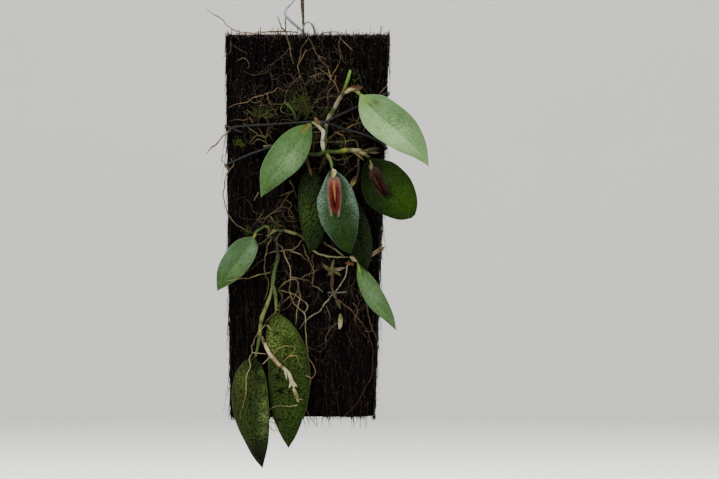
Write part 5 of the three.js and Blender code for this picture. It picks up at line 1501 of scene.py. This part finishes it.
# Routes of plan points, the colour and its patches, the radius, and the pieces that a root lies over
# The patches are partly the roots' own colour and partly painted highlights and painted shade.
ROOTS = {
    "roots_top": dict(
        radius=0.42,
        tints=[(84, 72, 50), (-50, 6, 9, (128, 112, 80)), (-34, 2, 9, (160, 118, 78)),
               (-20, 8, 5, (98, 73, 55))],
        routes=[
            [(-6.5, 1.8, -5), (-12, 2, -4), (-18, 2.2, -3), (-28.5, 1.6, -3), (-34.5, 1.4, -3),
             (-41, 1.8, -3), (-47, 3.6, -3), (-51, 7, -3), (-54, 10.5, -2), (-59, 13, -1), (-63, 16, 0)],
            [(-14, 2, -4), (-16.6, 6.4, -3), (-19, 12, -2)],
            [(-13.6, 10.5, -4), (-13.6, 4.4, -3.6), (-13.6, 1.8, -2.4), (-13, 1, 0.2), (-12, -3),
             (-10.5, -12), (-8.6, -18)],
        ],
    ),
    "roots_upper": dict(
        radius=0.28,
        tints=[(66, 58, 38), (-44, -43, 7, (150, 128, 92)), (-32, -38.6, 7, (140, 114, 78)),
               (-22, -36, 4, (116, 96, 62)), (16, -24, 5, (142, 130, 82)), (26, -8, 5, (122, 110, 84)),
               (-5, -20, 6, (112, 100, 62)), (13, -36, 4, (116, 98, 62)), (-30, -51, 6, (66, 76, 34)),
               (-27, -66, 6, (98, 94, 60)), (6, -12, 5, (96, 86, 62)), (19, -45, 5, (78, 66, 44)),
               (-14, -47, 4, (96, 94, 50))],
        routes=[
            [(6.5, -1, 0.4), (9.5, 1.2, -0.4), (18.5, 1.6, -0.2), (20.6, -0.6, 0.6), (19.5, -7),
             (20.5, -13), (19.5, -18.5), (16.5, -23), (14.5, -27)],
            [(20.2, -2), (24, -6), (28, -9.5)],
            [(0.5, -1.6), (3, -5.5), (4, -9.5), (6.5, -13), (9.5, -17), (13, -20.5), (14.5, -27),
             (17, -30.5), (19, -35.5), (19.8, -43.5), (18.5, -50), (18.6, -56)],
            [(0.5, -2), (-3.5, -7.5), (-4.6, -13), (-6, -20), (-4.5, -25.5), (-1.5, -31), (-0.5, -37.5),
             (3, -47), (6.5, -51)],
            [(-4.5, -25.5), (-8.5, -29.5), (-11.5, -31.5), (-13, -36), (-14, -41), (-16.5, -47),
             (-12.5, -50.5), (-10.5, -54)],
            [(-13, -36), (-18.5, -33), (-21, -35), (-26, -37), (-33.5, -39), (-37, -41.5), (-44, -43),
             (-49.5, -45.5)],
            [(-25.4, -36.8), (-24, -42), (-20.5, -47), (-17.6, -52)],
            [(-23.6, -43), (-16, -43), (-14.6, -42.6)], [(-1.5, -31), (2.5, -28), (6, -25.5), (13.8, -23.4)],
            [(4, -21), (6.5, -20.5), (10.5, -23), (14, -27), (11.5, -35)],
            [(17, -30.5), (12.4, -37), (13, -43.5), (10.5, -48.5), (8, -52)],
            [(-14, -41), (-7, -46.5), (-2, -46.5), (3, -47)],
            [(-38, -47), (-31.5, -51), (-28, -50), (-26, -51.5), (-19, -49.4)],
            [(-26, -51.4), (-24.4, -57.5), (-26, -65), (-25, -68.6)], [(-31, -58), (-29, -61), (-26, -65)],
            [(-34.5, -68), (-30.6, -65), (-28, -66), (-25.2, -68)],
            [(-36.5, -68), (-34.5, -65), (-31.5, -63), (-27.4, -63.2)], [(6.5, -13), (12, -15.5)],
        ],
    ),
    "roots_crown": dict(
        tints=[(84, 76, 44), (28, -57, 8, (146, 118, 74)), (27, -66.4, 6, (88, 98, 42)),
               (12, -66.6, 5, (88, 100, 44)), (20, -62, 4, (130, 98, 62)), (30, -80, 8, (70, 60, 40))],
        routes=[
            [(10, -77.5), (11.5, -72), (12, -67), (14, -64), (18, -61), (21.5, -60), (25.5, -58),
             (29.5, -56), (33.5, -54.5)],
            [(18, -61), (23, -64), (24, -67), (23, -71), (22.5, -77.4)],
            [(3, -67.5), (11.8, -66.8), (23, -66.6), (30, -66), (31.4, -72), (32, -80), (29, -83),
             (24.5, -87), (23, -89.5)],
            [(15.5, -76), (18, -78), (22.5, -77.4), (27, -75.5)], [(10.2, -77), (8, -82), (7, -86)],
        ],
    ),
    "roots_middle": dict(
        tints=[(90, 75, 53), (-22, -111, 7, (104, 89, 64))],
        routes=[
            [(-11, -91), (-9, -95.5), (-7, -102)],
            [(-8.6, -96.6), (-13.5, -102), (-17, -107.5), (-21, -110.5), (-25.5, -113.5), (-27.5, -117),
             (-28.5, -120)],
            [(-9.4, -97.4), (-13.5, -99), (-17.5, -100.5)], [(-24, -112.4), (-19, -118), (-14, -120.2)],
            [(-28.5, -111.6), (-30.5, -115.5), (-27.6, -117.4)],
            [(-14, -102.6), (-10, -106), (-12, -111), (-8, -115)],
            [(-17, -107.5), (-12.5, -108.6), (-9, -111.5)],
        ],
    ),
    "root_left_straight": dict(
        radius=0.5, tints=[(118, 109, 81)],
        routes=[[(-48.4, -60, 0.6), (-50.5, -61.5, 1), (-56, -67, 0), (-61, -71.5, -1), (-63, -74, -1.4)]],
    ),
    "roots_left_edge": dict(
        tints=[(94, 80, 57), (-34, -123.5, 8, (94, 97, 57)), (-49, -84, 5, (98, 72, 52))],
        routes=[
            [(-52.8, -75, 0.6), (-53.6, -78, 0.8), (-51, -81, 0.8), (-48.8, -84.5), (-51, -88),
             (-52, -94, 0.6), (-52.6, -100, 1), (-50.5, -109.5), (-47, -116), (-41.5, -120.5), (-33, -124),
             (-28, -125)],
            [(-48.8, -84.5), (-46.4, -80.6), (-48, -77)],
        ],
    ),
    "roots_lower": dict(
        tints=[(104, 92, 64), (-25, -152, 9, (92, 80, 54)), (4, -150, 8, (72, 62, 40)),
               (-12, -143, 8, (158, 144, 108)), (-5, -170, 7, (156, 142, 106)),
               (0, -192, 11, (164, 150, 114)), (4, -209, 5, (178, 150, 108)),
               (24, -149, 9, (144, 156, 124)), (12, -166, 9, (150, 162, 130)),
               (0, -178, 5, (144, 152, 118)), (2, -233, 9, (96, 62, 42)), (-18, -158, 5, (124, 118, 66)),
               (-28, -129, 5, (92, 100, 50))],
        routes=[
            [(-31, -131), (-26.5, -128.5), (-22.5, -126), (-19, -129.5), (-15.5, -134.5), (-13, -140.5),
             (-11, -145), (-10.5, -150.5), (-11, -161), (-9, -166), (-6.5, -170), (-2, -174), (-1.5, -179),
             (-1, -187), (-0.5, -195), (1.4, -203), (4.5, -208), (5, -211), (2, -215.5), (1, -220),
             (-0.5, -227), (-0.5, -234), (1, -238), (6, -244.5)],
            [(-22.5, -126.4), (-25.5, -134), (-27, -143), (-26, -150), (-24.5, -155.5), (-25, -160.5),
             (-27, -165.5)],
            [(-4, -128.5), (-7.5, -133), (-15.5, -134.8), (-23, -136), (-26, -137)],
            [(-18.5, -159), (-13.5, -154.5), (-8.5, -152.5), (-6, -155), (-6, -159), (-8.6, -165.4)],
            [(-18.5, -159.4), (-13.5, -160.5), (-10, -161.5), (-4.5, -164.5), (-1, -167.5), (0, -170),
             (-2, -173.6)],
            [(-19, -170), (-15.5, -167), (-10.4, -162.6)], [(-11.4, -134.4), (-5, -137), (0.6, -141.4)],
            [(-2.5, -131), (-1, -137), (2, -143), (4, -148), (3, -152.5), (3, -157), (5.5, -157.5),
             (9.5, -160.5)],
            [(-10.5, -151), (-4.5, -152.5), (0.5, -153.5), (3, -155.4)],
            [(-4, -152.4), (-1.5, -150), (3.6, -148.4), (7.4, -146)],
            [(-6, -155.5), (-4.5, -162), (-6.4, -171), (-6.8, -177), (-7.5, -181)],
            [(26, -141, 1.6), (24.5, -146), (24, -150.5), (21, -155.5), (17, -160.6), (11, -167.5),
             (7, -173), (2, -176), (-1.6, -179), (-5, -183.5)],
        ],
    ),
    "root_over_leaf_7": dict(
        over=["leaf_7"],
        tints=[(138, 130, 82), (-26, -149, 6, (96, 106, 46)), (-50, -154, 4, (168, 160, 112))],
        routes=[[(-23.6, -148.4, 5), (-27.5, -149.5, 5), (-31, -150, 8), (-38, -152), (-47, -153),
                 (-51.5, -154)]],
    ),
    "root_over_leaf_10": dict(
        over=["leaf_10", "leaf_9", "stem_9_and_10"], radius=0.34,
        tints=[(150, 142, 98), (-22, -176, 6, (76, 66, 44)), (-33, -190, 5, (98, 84, 56)),
               (-36, -206, 8, (176, 170, 124)), (-39, -222, 7, (146, 140, 78)),
               (-41, -237, 6, (92, 98, 40))],
        routes=[
            [(-18.4, -171.4, 12.6), (-21.5, -174.6), (-24, -177, 12.6), (-27, -181.4), (-29.6, -184.8),
             (-34, -192.5, 16.6), (-35, -195.5), (-34.5, -198), (-36, -202), (-35.5, -207), (-38, -214.5),
             (-38, -221), (-39.5, -230), (-41.5, -235.5), (-41.5, -239.5)],
            [(-27, -181.4), (-24, -182.4), (-22.5, -184.4)],
        ],
    ),
    "roots_on_leaf_9": dict(
        over=["leaf_9", "old_stem"], radius=0.33,
        tints=[(134, 126, 64), (-20, -198, 3, (140, 118, 72)), (-4, -205, 3, (92, 92, 40))],
        routes=[
            [(-20.6, -199), (-19, -196), (-16, -194.5), (-12, -194), (-7.6, -195.4), (-11.5, -200.5),
             (-15, -203.6)],
            [(-11.5, -200.5), (-6.5, -200.5), (-5.5, -204), (-3, -207.5)],
        ],
    ),
    "root_low_cross": dict(
        over=["leaf_9", "leaf_10"], radius=0.33, tints=[(128, 124, 74), (-9, -231, 3, (168, 160, 116))],
        routes=[[(-6.6, -231), (-12, -231.6), (-17, -231.2), (-21, -232), (-23.5, -234)]],
    ),
    "stolon": dict(
        radius=0.5,
        tints=[(132, 146, 98), (5, -135.6, 5, (140, 154, 104)), (14, -132, 5, (74, 74, 46)),
               (26, -138.6, 3, (120, 104, 70))],
        routes=[
            [(3.5, -135, 1.6), (9.5, -137.5, 1.4), (17, -139, 1.6), (26, -138.7, 3.2)],
            [(10.5, -129.5), (14, -132), (17, -134), (21, -136.8), (23, -138.6, 2)],
        ],
    ),
    "root_red": dict(
        radius=0.3,
        tints=[(54, 22, 14), (24, -169, 6, (124, 100, 70)), (32, -178, 5, (88, 62, 42)),
               (38, -190, 6, (60, 30, 19))],
        routes=[[(19.5, -165.5), (26.5, -171.5), (34, -180), (38, -187), (40.5, -195), (41, -204),
                 (39.5, -214), (35.5, -221.5), (31, -229.5), (26.5, -235), (20.5, -239.5)]],
    ),
    "root_right_thin": dict(
        tints=[(76, 54, 37)], routes=[[(37, -167.5), (38, -175.5), (40.6, -184), (43.4, -190)]],
    ),
    "root_bud": dict(tints=[(80, 65, 46)], routes=[[(18.6, -180), (14, -184), (11.5, -189), (11.5, -194)]]),
}

# Fine rootlets and short stubs seen one by one: points, radius, colour
FINE_ROOTS = [
    ([(-48, -3.6, 0.6), (-48.4, -10.8, 0.8), (-51.8, -13, 0.6)], 0.24, (66, 62, 46)),
    ([(-46, -6.8, 0.6), (-42, -9.4, 1), (-37.5, -11.6, 0.5)], 0.2, (58, 54, 40)),
    ([(-44.4, -16.4, 0.4), (-39.7, -14.4, 1.6), (-36.7, -17.6, 1.2), (-37.3, -21.2, 0.5)],
     0.24, (98, 82, 58)),
    ([(-1, -9.6, 0.5), (-4.9, -17.2, 1)], 0.31, (120, 94, 67)),
    ([(17.8, -25.2, 0.6), (16.8, -29.4, 1)], 0.29, (128, 96, 67)),
    ([(16.9, -28.8, 0.6), (20.1, -36.4, 1.2)], 0.29, (120, 89, 64)),
    ([(49.6, -31.6, 0.4), (44.9, -36.8, 1)], 0.31, (112, 96, 76)),
    ([(-30.7, -98.6, 0.6), (-33.5, -103.4, 1)], 0.34, (120, 104, 73)),
    ([(1.4, -26.4, 0.6), (8.2, -23.6, 1)], 0.29, (136, 105, 72)),
    ([(3.9, -60.9, 1), (8.4, -60.5, 2)], 0.34, (140, 134, 89)),
    ([(24.3, -185.4, 0.6), (27.9, -195, 0.8)], 0.2, (52, 38, 26)),
    ([(11.8, -169.3, 0.6), (14.7, -177.6, 1)], 0.31, (100, 83, 62)),
    ([(5.8, -161.5, 0.6), (8.4, -166, 1)], 0.2, (60, 50, 34)),
    ([(-22.6, -200.3, 15), (-27.8, -205.4, 18)], 0.34, (156, 142, 104)),
    ([(-34.1, -198.3, 17.4), (-25.8, -199, 16)], 0.34, (148, 128, 96)),
    ([(-23.4, -241.3, 13), (-19.8, -242.4, 12.4)], 0.31, (156, 140, 105)),
    ([(-23.4, -244.4, 13.4), (-21, -247, 12.6), (-17.8, -246.1, 12.4)], 0.34, (164, 152, 116)),
    ([(-6.6, -227.3, 12.6), (-3.1, -227.5, 13)], 0.34, (160, 145, 107)),
    ([(-0.7, -212.6, 13.4), (2.5, -214.2, 11)], 0.34, (156, 136, 99)),
    ([(-40, -55, 1), (-34, -60, 1.2), (-27, -64, 0.8), (-22, -60, 0.6)], 0.29, (96, 83, 57)),
    ([(38, -45, 0.6), (33, -50, 1), (30, -58, 0.6)], 0.29, (97, 76, 54)),
    ([(44, -52, 0.6), (37, -56, 1.2), (34, -63, 0.6)], 0.29, (89, 73, 52)),
]
STUBS = [
    ([(-27, -69.6, 1.2), (-22.6, -69.1, 1.4)], 0.7, (92, 92, 66)),
    ([(-36.2, -51.5, 1), (-34.2, -54.7, 1.4)], 0.45, (110, 74, 44)),
]
# Tangles of loose rootlets: middle x and z, width and height, share of them
TANGLES = [
    (4, -30, 30, 26, 0.26),
    (14, -62, 26, 14, 0.14),
    (-18, -112, 14, 12, 0.11),
    (-10, -146, 20, 20, 0.06),
    (24, -150, 18, 20, 0.06),
    (-30, -40, 18, 22, 0.1),
    (6, -190, 26, 24, 0.06),
]
# Moss cushions: middle x and z, width, number of tufts
MOSS = [
    (-43.8, -66.8, 2.2, 40),
    (-41, -68.8, 1.6, 26),
    (-5, -43, 9, 130),
    (-2, -44, 5, 80),
    (-30, -49, 5, 40),
    (-24, -48, 4, 30),
    (12, -50, 7, 50),
    (30, -30, 9, 40),
    (-20, -118, 5, 30),
    (-38, -122, 3, 20),
    (22, -70, 5, 30),
]


def laid(route, over, radius):
    """A root's own line: it rests on the slab or on the pieces named, and wanders a little."""
    plan = np.array([(*point, 0)[:3] for point in route], float)
    reach = np.linalg.norm(np.diff(plan, axis=0), axis=1).sum()
    line = spline(plan, np.linspace(0, 1, max(3, round(reach / 1.6)) + 1))
    under = [max([0.0, *(surface_out(node, x, z) for node in over)]) for x, z, _ in line]
    rest = np.array([max(under[max(0, i - 2) : i + 3]) for i in range(len(line))])
    line[:, 2] = np.maximum(line[:, 2], rest + radius + 0.3)
    middle = np.sin(math.pi * np.linspace(0, 1, len(line))) ** 0.3
    line[:, 0] += 0.9 * middle * (ripple(line[:, 1] / 2.3 + plan[0, 0], line[:, 0] / 2.3) - 0.5)
    line[:, 1] += 0.9 * middle * (ripple(line[:, 0] / 2.3 + 31, line[:, 1] / 2.3 + plan[0, 0]) - 0.5)
    return place(line)


def root_shape(routes, tints, over=(), radius=0.35):
    """The roots of one system, knobbly and thinner towards their tips."""
    taper = [radius, radius * 1.1, radius, radius * 0.9, radius * 0.55]
    lines = [laid(route, over, radius) for route in routes]
    shape = joined([rod(line, taper, plain(WHITE), sides=7, step=0.5, lumps=0.35) for line in lines])
    x, _, z = shape.points.T
    # Brightness that changes at random along the roots: partly their own uneven tone, partly painted
    # highlights and painted shade.
    worn = 0.5 + 0.75 * ripple(x / 4.5 + 20, z / 4.5) + 0.35 * ripple(x / 1.3, z / 1.3)
    shape.paint = patched(shape.points, tints) * worn[:, None]
    return shape


def wandering(random, x, z, reach):
    """A rootlet that wanders down the slab's face from a plan point, where it stays on the slab."""
    heading = random.normal(-1.57, 0.8)
    points = [(x, z, random.uniform(0.2, 1.2))]
    for _ in range(ROOTLET_STEPS):
        heading += random.normal(0, 0.55) - 0.1 * math.cos(heading)
        x += math.cos(heading) * reach / ROOTLET_STEPS
        z += math.sin(heading) * reach / ROOTLET_STEPS
        points.append((x, z, max(0.1, random.normal(0.9, 0.7))))
    inside = [p for p in points if slab_edge(-1, p[1]) + 1 < p[0] < slab_edge(1, p[1]) - 1 and p[1] < -1]
    return inside if len(inside) > 2 else None


def loose_rootlets(random, look):
    """The fine rootlets that tangle over the slab."""
    dark, paler = np.array(ROOTLET_TINTS)
    rods = []
    for x, z, wide, high, share in TANGLES:
        for _ in range(round(look.rootlets * share)):
            start = random.normal(0, 0.5, 2)
            points = wandering(random, x + start[0] * wide, z + start[1] * high, random.uniform(8, 24))
            if points:
                radius = look.rootlet_radius / MM * random.uniform(0.45, 1.2)
                tint = plain(tuple(dark + paler * random.random() ** 3.2))
                taper = [radius, radius, radius * 0.5]
                rods.append(rod(place(points), taper, tint, sides=5, step=1.2, lumps=0.3))
    return rods


class ORCHID_OT_roots(bpy.types.Operator):
    """Makes the roots, and the fine rootlets that tangle over the slab"""

    bl_idname = "orchid.roots"
    bl_label = "Roots"

    def execute(self, context):
        look = context.scene.orchid.root
        random = np.random.default_rng(ROOTLET_SEED)
        bark = plant_material("root skin")
        red = plant_material("red root skin")
        for node, table in ROOTS.items():
            shape = root_shape(**table)
            tint = look.root_red if node == "root_red" else look.root
            shape.paint = shape.paint * 0.8 + np.array(tint) * 0.2
            new_piece(f"{node}_skin", shape, red if node == "root_red" else bark, [node])
        fine = []
        for points, radius, tint in FINE_ROOTS:
            taper = [radius, radius, radius * 0.6]
            fine.append(rod(place(points), taper, plain(tint), sides=6, step=0.8, lumps=0.2))
        for points, radius, tint in STUBS:
            taper = [radius, radius * 1.1, radius * 0.7]
            fine.append(rod(place(points), taper, plain(tint), sides=9, step=0.5, lumps=0.1))
        fine += loose_rootlets(random, look)
        new_piece("fine_rootlets", joined(fine), bark)
        return {"FINISHED"}


class ORCHID_OT_moss(bpy.types.Operator):
    """Makes the small moss cushions and strands among the roots"""

    bl_idname = "orchid.moss"
    bl_label = "Moss"

    def execute(self, context):
        random = np.random.default_rng(MOSS_SEED)
        tufts = []
        for x, z, spread, tuft_count in MOSS:
            plan = random.normal(0, 0.5, (tuft_count, 2)) * spread + (x, z)
            start = place([(px, pz, random.uniform(-0.6, 0.5)) for px, pz in plan])
            count = tuft_count * LEAFLETS
            leaflets = np.repeat(start, LEAFLETS, axis=0) + random.normal(0, 0.3, (count, 3))
            way = random.normal(0, 0.7, (count, 3)) + (0, -1, 0.3)
            paint = tinted(random, count, srgb(20, 34, 8), srgb(104, 140, 44), 1.5)
            reach = random.uniform(0.7, 1.9, count)
            tufts.append(strands(leaflets, way, reach, 0.17, paint, random, bend=0.3, steps=3, taper=0.1))
        new_piece("moss_tufts", joined(tufts), plant_material("moss"))
        return {"FINISHED"}


# Stage, in metres. PHOTO_WIDTH is the width that the picture spans at the slab.

PHOTO_WIDTH = 0.4494
VIEW_CENTRE = (0.0325, -0.01, -0.1978)
CAMERA_DISTANCE = 4.0
SENSOR = 36
FLOOR_RADIUS = 5
BEND_RADIUS = 2.5
BACKDROP_HEIGHT = 4
AROUND = 64
AMBIENT = (1, 0.98, 0.95, 1)
AMBIENT_STRENGTH = 0.1
PLANT = (0, 0, -0.17)
# Soft lights: place, width, share of the key light's power, what it points at
LIGHTS = {
    "key": ((-1.1, -1.6, 1.3), 0.55, 1, PLANT),
    "fill": ((1.5, -1.3, 0.2), 1.0, 0.2, PLANT),
    "top": ((0.3, -0.1, 1.6), 0.8, 0.25, PLANT),
    "back_left": ((-1.3, 1.6, 0.5), 1.1, 0.6, PLANT),
    "back_right": ((1.3, 1.7, 0.7), 1.1, 0.6, PLANT),
    "backdrop_0": ((0, 1.6, 1.6), 2.0, 6.5, (0, 8, 1)),
    "backdrop_1": ((1.6, 0, 1.6), 2.0, 4.5, (8, 0, 1)),
    "backdrop_2": ((-1.6, 0, 1.6), 2.0, 4.5, (-8, 0, 1)),
    "backdrop_3": ((0, -1.6, 1.6), 2.0, 4.5, (0, -8, 1)),
}


def soft_light(name, place_at, size, power, aim):
    """A round area light that the camera doesn't see."""
    light = bpy.data.lights.new(name, "AREA")
    light.shape = "DISK"
    light.size = size
    light.energy = power
    lamp = bpy.data.objects.new(name, light)
    bpy.context.scene.collection.objects.link(lamp)
    lamp.location = place_at
    lamp.rotation_euler = (Vector(aim) - Vector(place_at)).to_track_quat("-Z", "Y").to_euler()
    lamp.visible_camera = False


def floor_mesh(drop):
    """A round floor that bends up into a backdrop all round."""
    turn = np.linspace(0, math.pi / 2, 13)[1:]
    profile = [(0.0002, 0), (1, 0), (2.5, 0), (FLOOR_RADIUS, 0)]
    profile += [
        (FLOOR_RADIUS + BEND_RADIUS * math.sin(a), BEND_RADIUS - BEND_RADIUS * math.cos(a)) for a in turn
    ]
    profile.append((FLOOR_RADIUS + BEND_RADIUS, BACKDROP_HEIGHT))
    angle = np.linspace(0, 2 * math.pi, AROUND, endpoint=False)
    rings = [[(r * math.cos(a), r * math.sin(a), h - drop) for a in angle] for r, h in profile]
    mesh = bpy.data.meshes.new("floor")
    mesh.from_pydata(np.reshape(rings, (-1, 3)).tolist(), [], ring_quads(len(profile) - 1, AROUND).tolist())
    mesh.polygons.foreach_set("use_smooth", np.ones(len(mesh.polygons), bool))
    return mesh


class ORCHID_OT_stage(bpy.types.Operator):
    """Makes the camera, the pale floor that rises into a backdrop, and the soft lights"""

    bl_idname = "orchid.stage"
    bl_label = "Stage"

    def execute(self, context):
        look = context.scene.orchid.stage
        camera = bpy.data.cameras.new("camera")
        camera.sensor_width = SENSOR
        camera.lens = SENSOR * CAMERA_DISTANCE / PHOTO_WIDTH
        camera.clip_end = 100
        eye = bpy.data.objects.new("camera", camera)
        context.scene.collection.objects.link(eye)
        eye.location = Vector(VIEW_CENTRE) - Vector((0, CAMERA_DISTANCE, 0))
        eye.rotation_euler = (math.pi / 2, 0, 0)
        context.scene.camera = eye
        mesh = floor_mesh(look.floor_drop)
        floor = bpy.data.objects.new("floor", mesh)
        context.scene.collection.objects.link(floor)
        pale = Recipe("pale floor", 0.9)
        cloudy = pale.noise(3, 2)
        mesh.materials.append(pale.finish(pale.mix(cloudy, tuple(look.floor), srgb(222, 221, 217))))
        floor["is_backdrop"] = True
        world = bpy.data.worlds.new("studio")
        world.use_nodes = True
        world.node_tree.nodes["Background"].inputs["Color"].default_value = AMBIENT
        world.node_tree.nodes["Background"].inputs["Strength"].default_value = AMBIENT_STRENGTH
        context.scene.world = world
        for name, (place_at, size, share, aim) in LIGHTS.items():
            soft_light(name, place_at, size, look.key_power * share, aim)
        return {"FINISHED"}


STEPS = ("wires", "slab", "stems", "leaves", "flowers", "dry_pieces", "roots", "moss", "stage")


class ORCHID_PT_pieces(bpy.types.Panel):
    """Lists the pieces of the orchid and their settings"""

    bl_idname = "ORCHID_PT_pieces"
    bl_label = "Orchid on a fern slab"
    bl_space_type = "VIEW_3D"
    bl_region_type = "UI"
    bl_category = "Orchid"

    def draw(self, context):
        settings = context.scene.orchid
        for kind in ("slab", "leaf", "flower", "root", "wire", "stage"):
            box = self.layout.box()
            box.label(text=kind.capitalize())
            part = getattr(settings, kind)
            for key in part.bl_rna.properties.keys():
                if key not in ("rna_type", "name"):
                    box.prop(part, key)
        for step in STEPS:
            self.layout.operator(f"orchid.{step}")


CLASSES = (
    OrchidSlabLook, OrchidLeafLook, OrchidFlowerLook, OrchidRootLook, OrchidWireLook, OrchidStageLook,
    OrchidSettings, ORCHID_OT_wires, ORCHID_OT_slab, ORCHID_OT_stems, ORCHID_OT_leaves, ORCHID_OT_flowers,
    ORCHID_OT_dry_pieces, ORCHID_OT_roots, ORCHID_OT_moss, ORCHID_OT_stage, ORCHID_PT_pieces,
)


def register():
    for cls in CLASSES:
        bpy.utils.register_class(cls)
    bpy.types.Scene.orchid = bpy.props.PointerProperty(
        type=OrchidSettings, name="Orchid", description="Sizes and colours of the orchid's looks"
    )


def unregister():
    del bpy.types.Scene.orchid
    for cls in reversed(CLASSES):
        bpy.utils.unregister_class(cls)


def main():
    register()
    for step in STEPS:
        getattr(bpy.ops.orchid, step)()
    boxes = {"cad": FRAME_BOX, "visual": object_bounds()}
    {key: [list(corner) for corner in box] for key, box in boxes.items()}


if __name__ == "__main__":
    main()
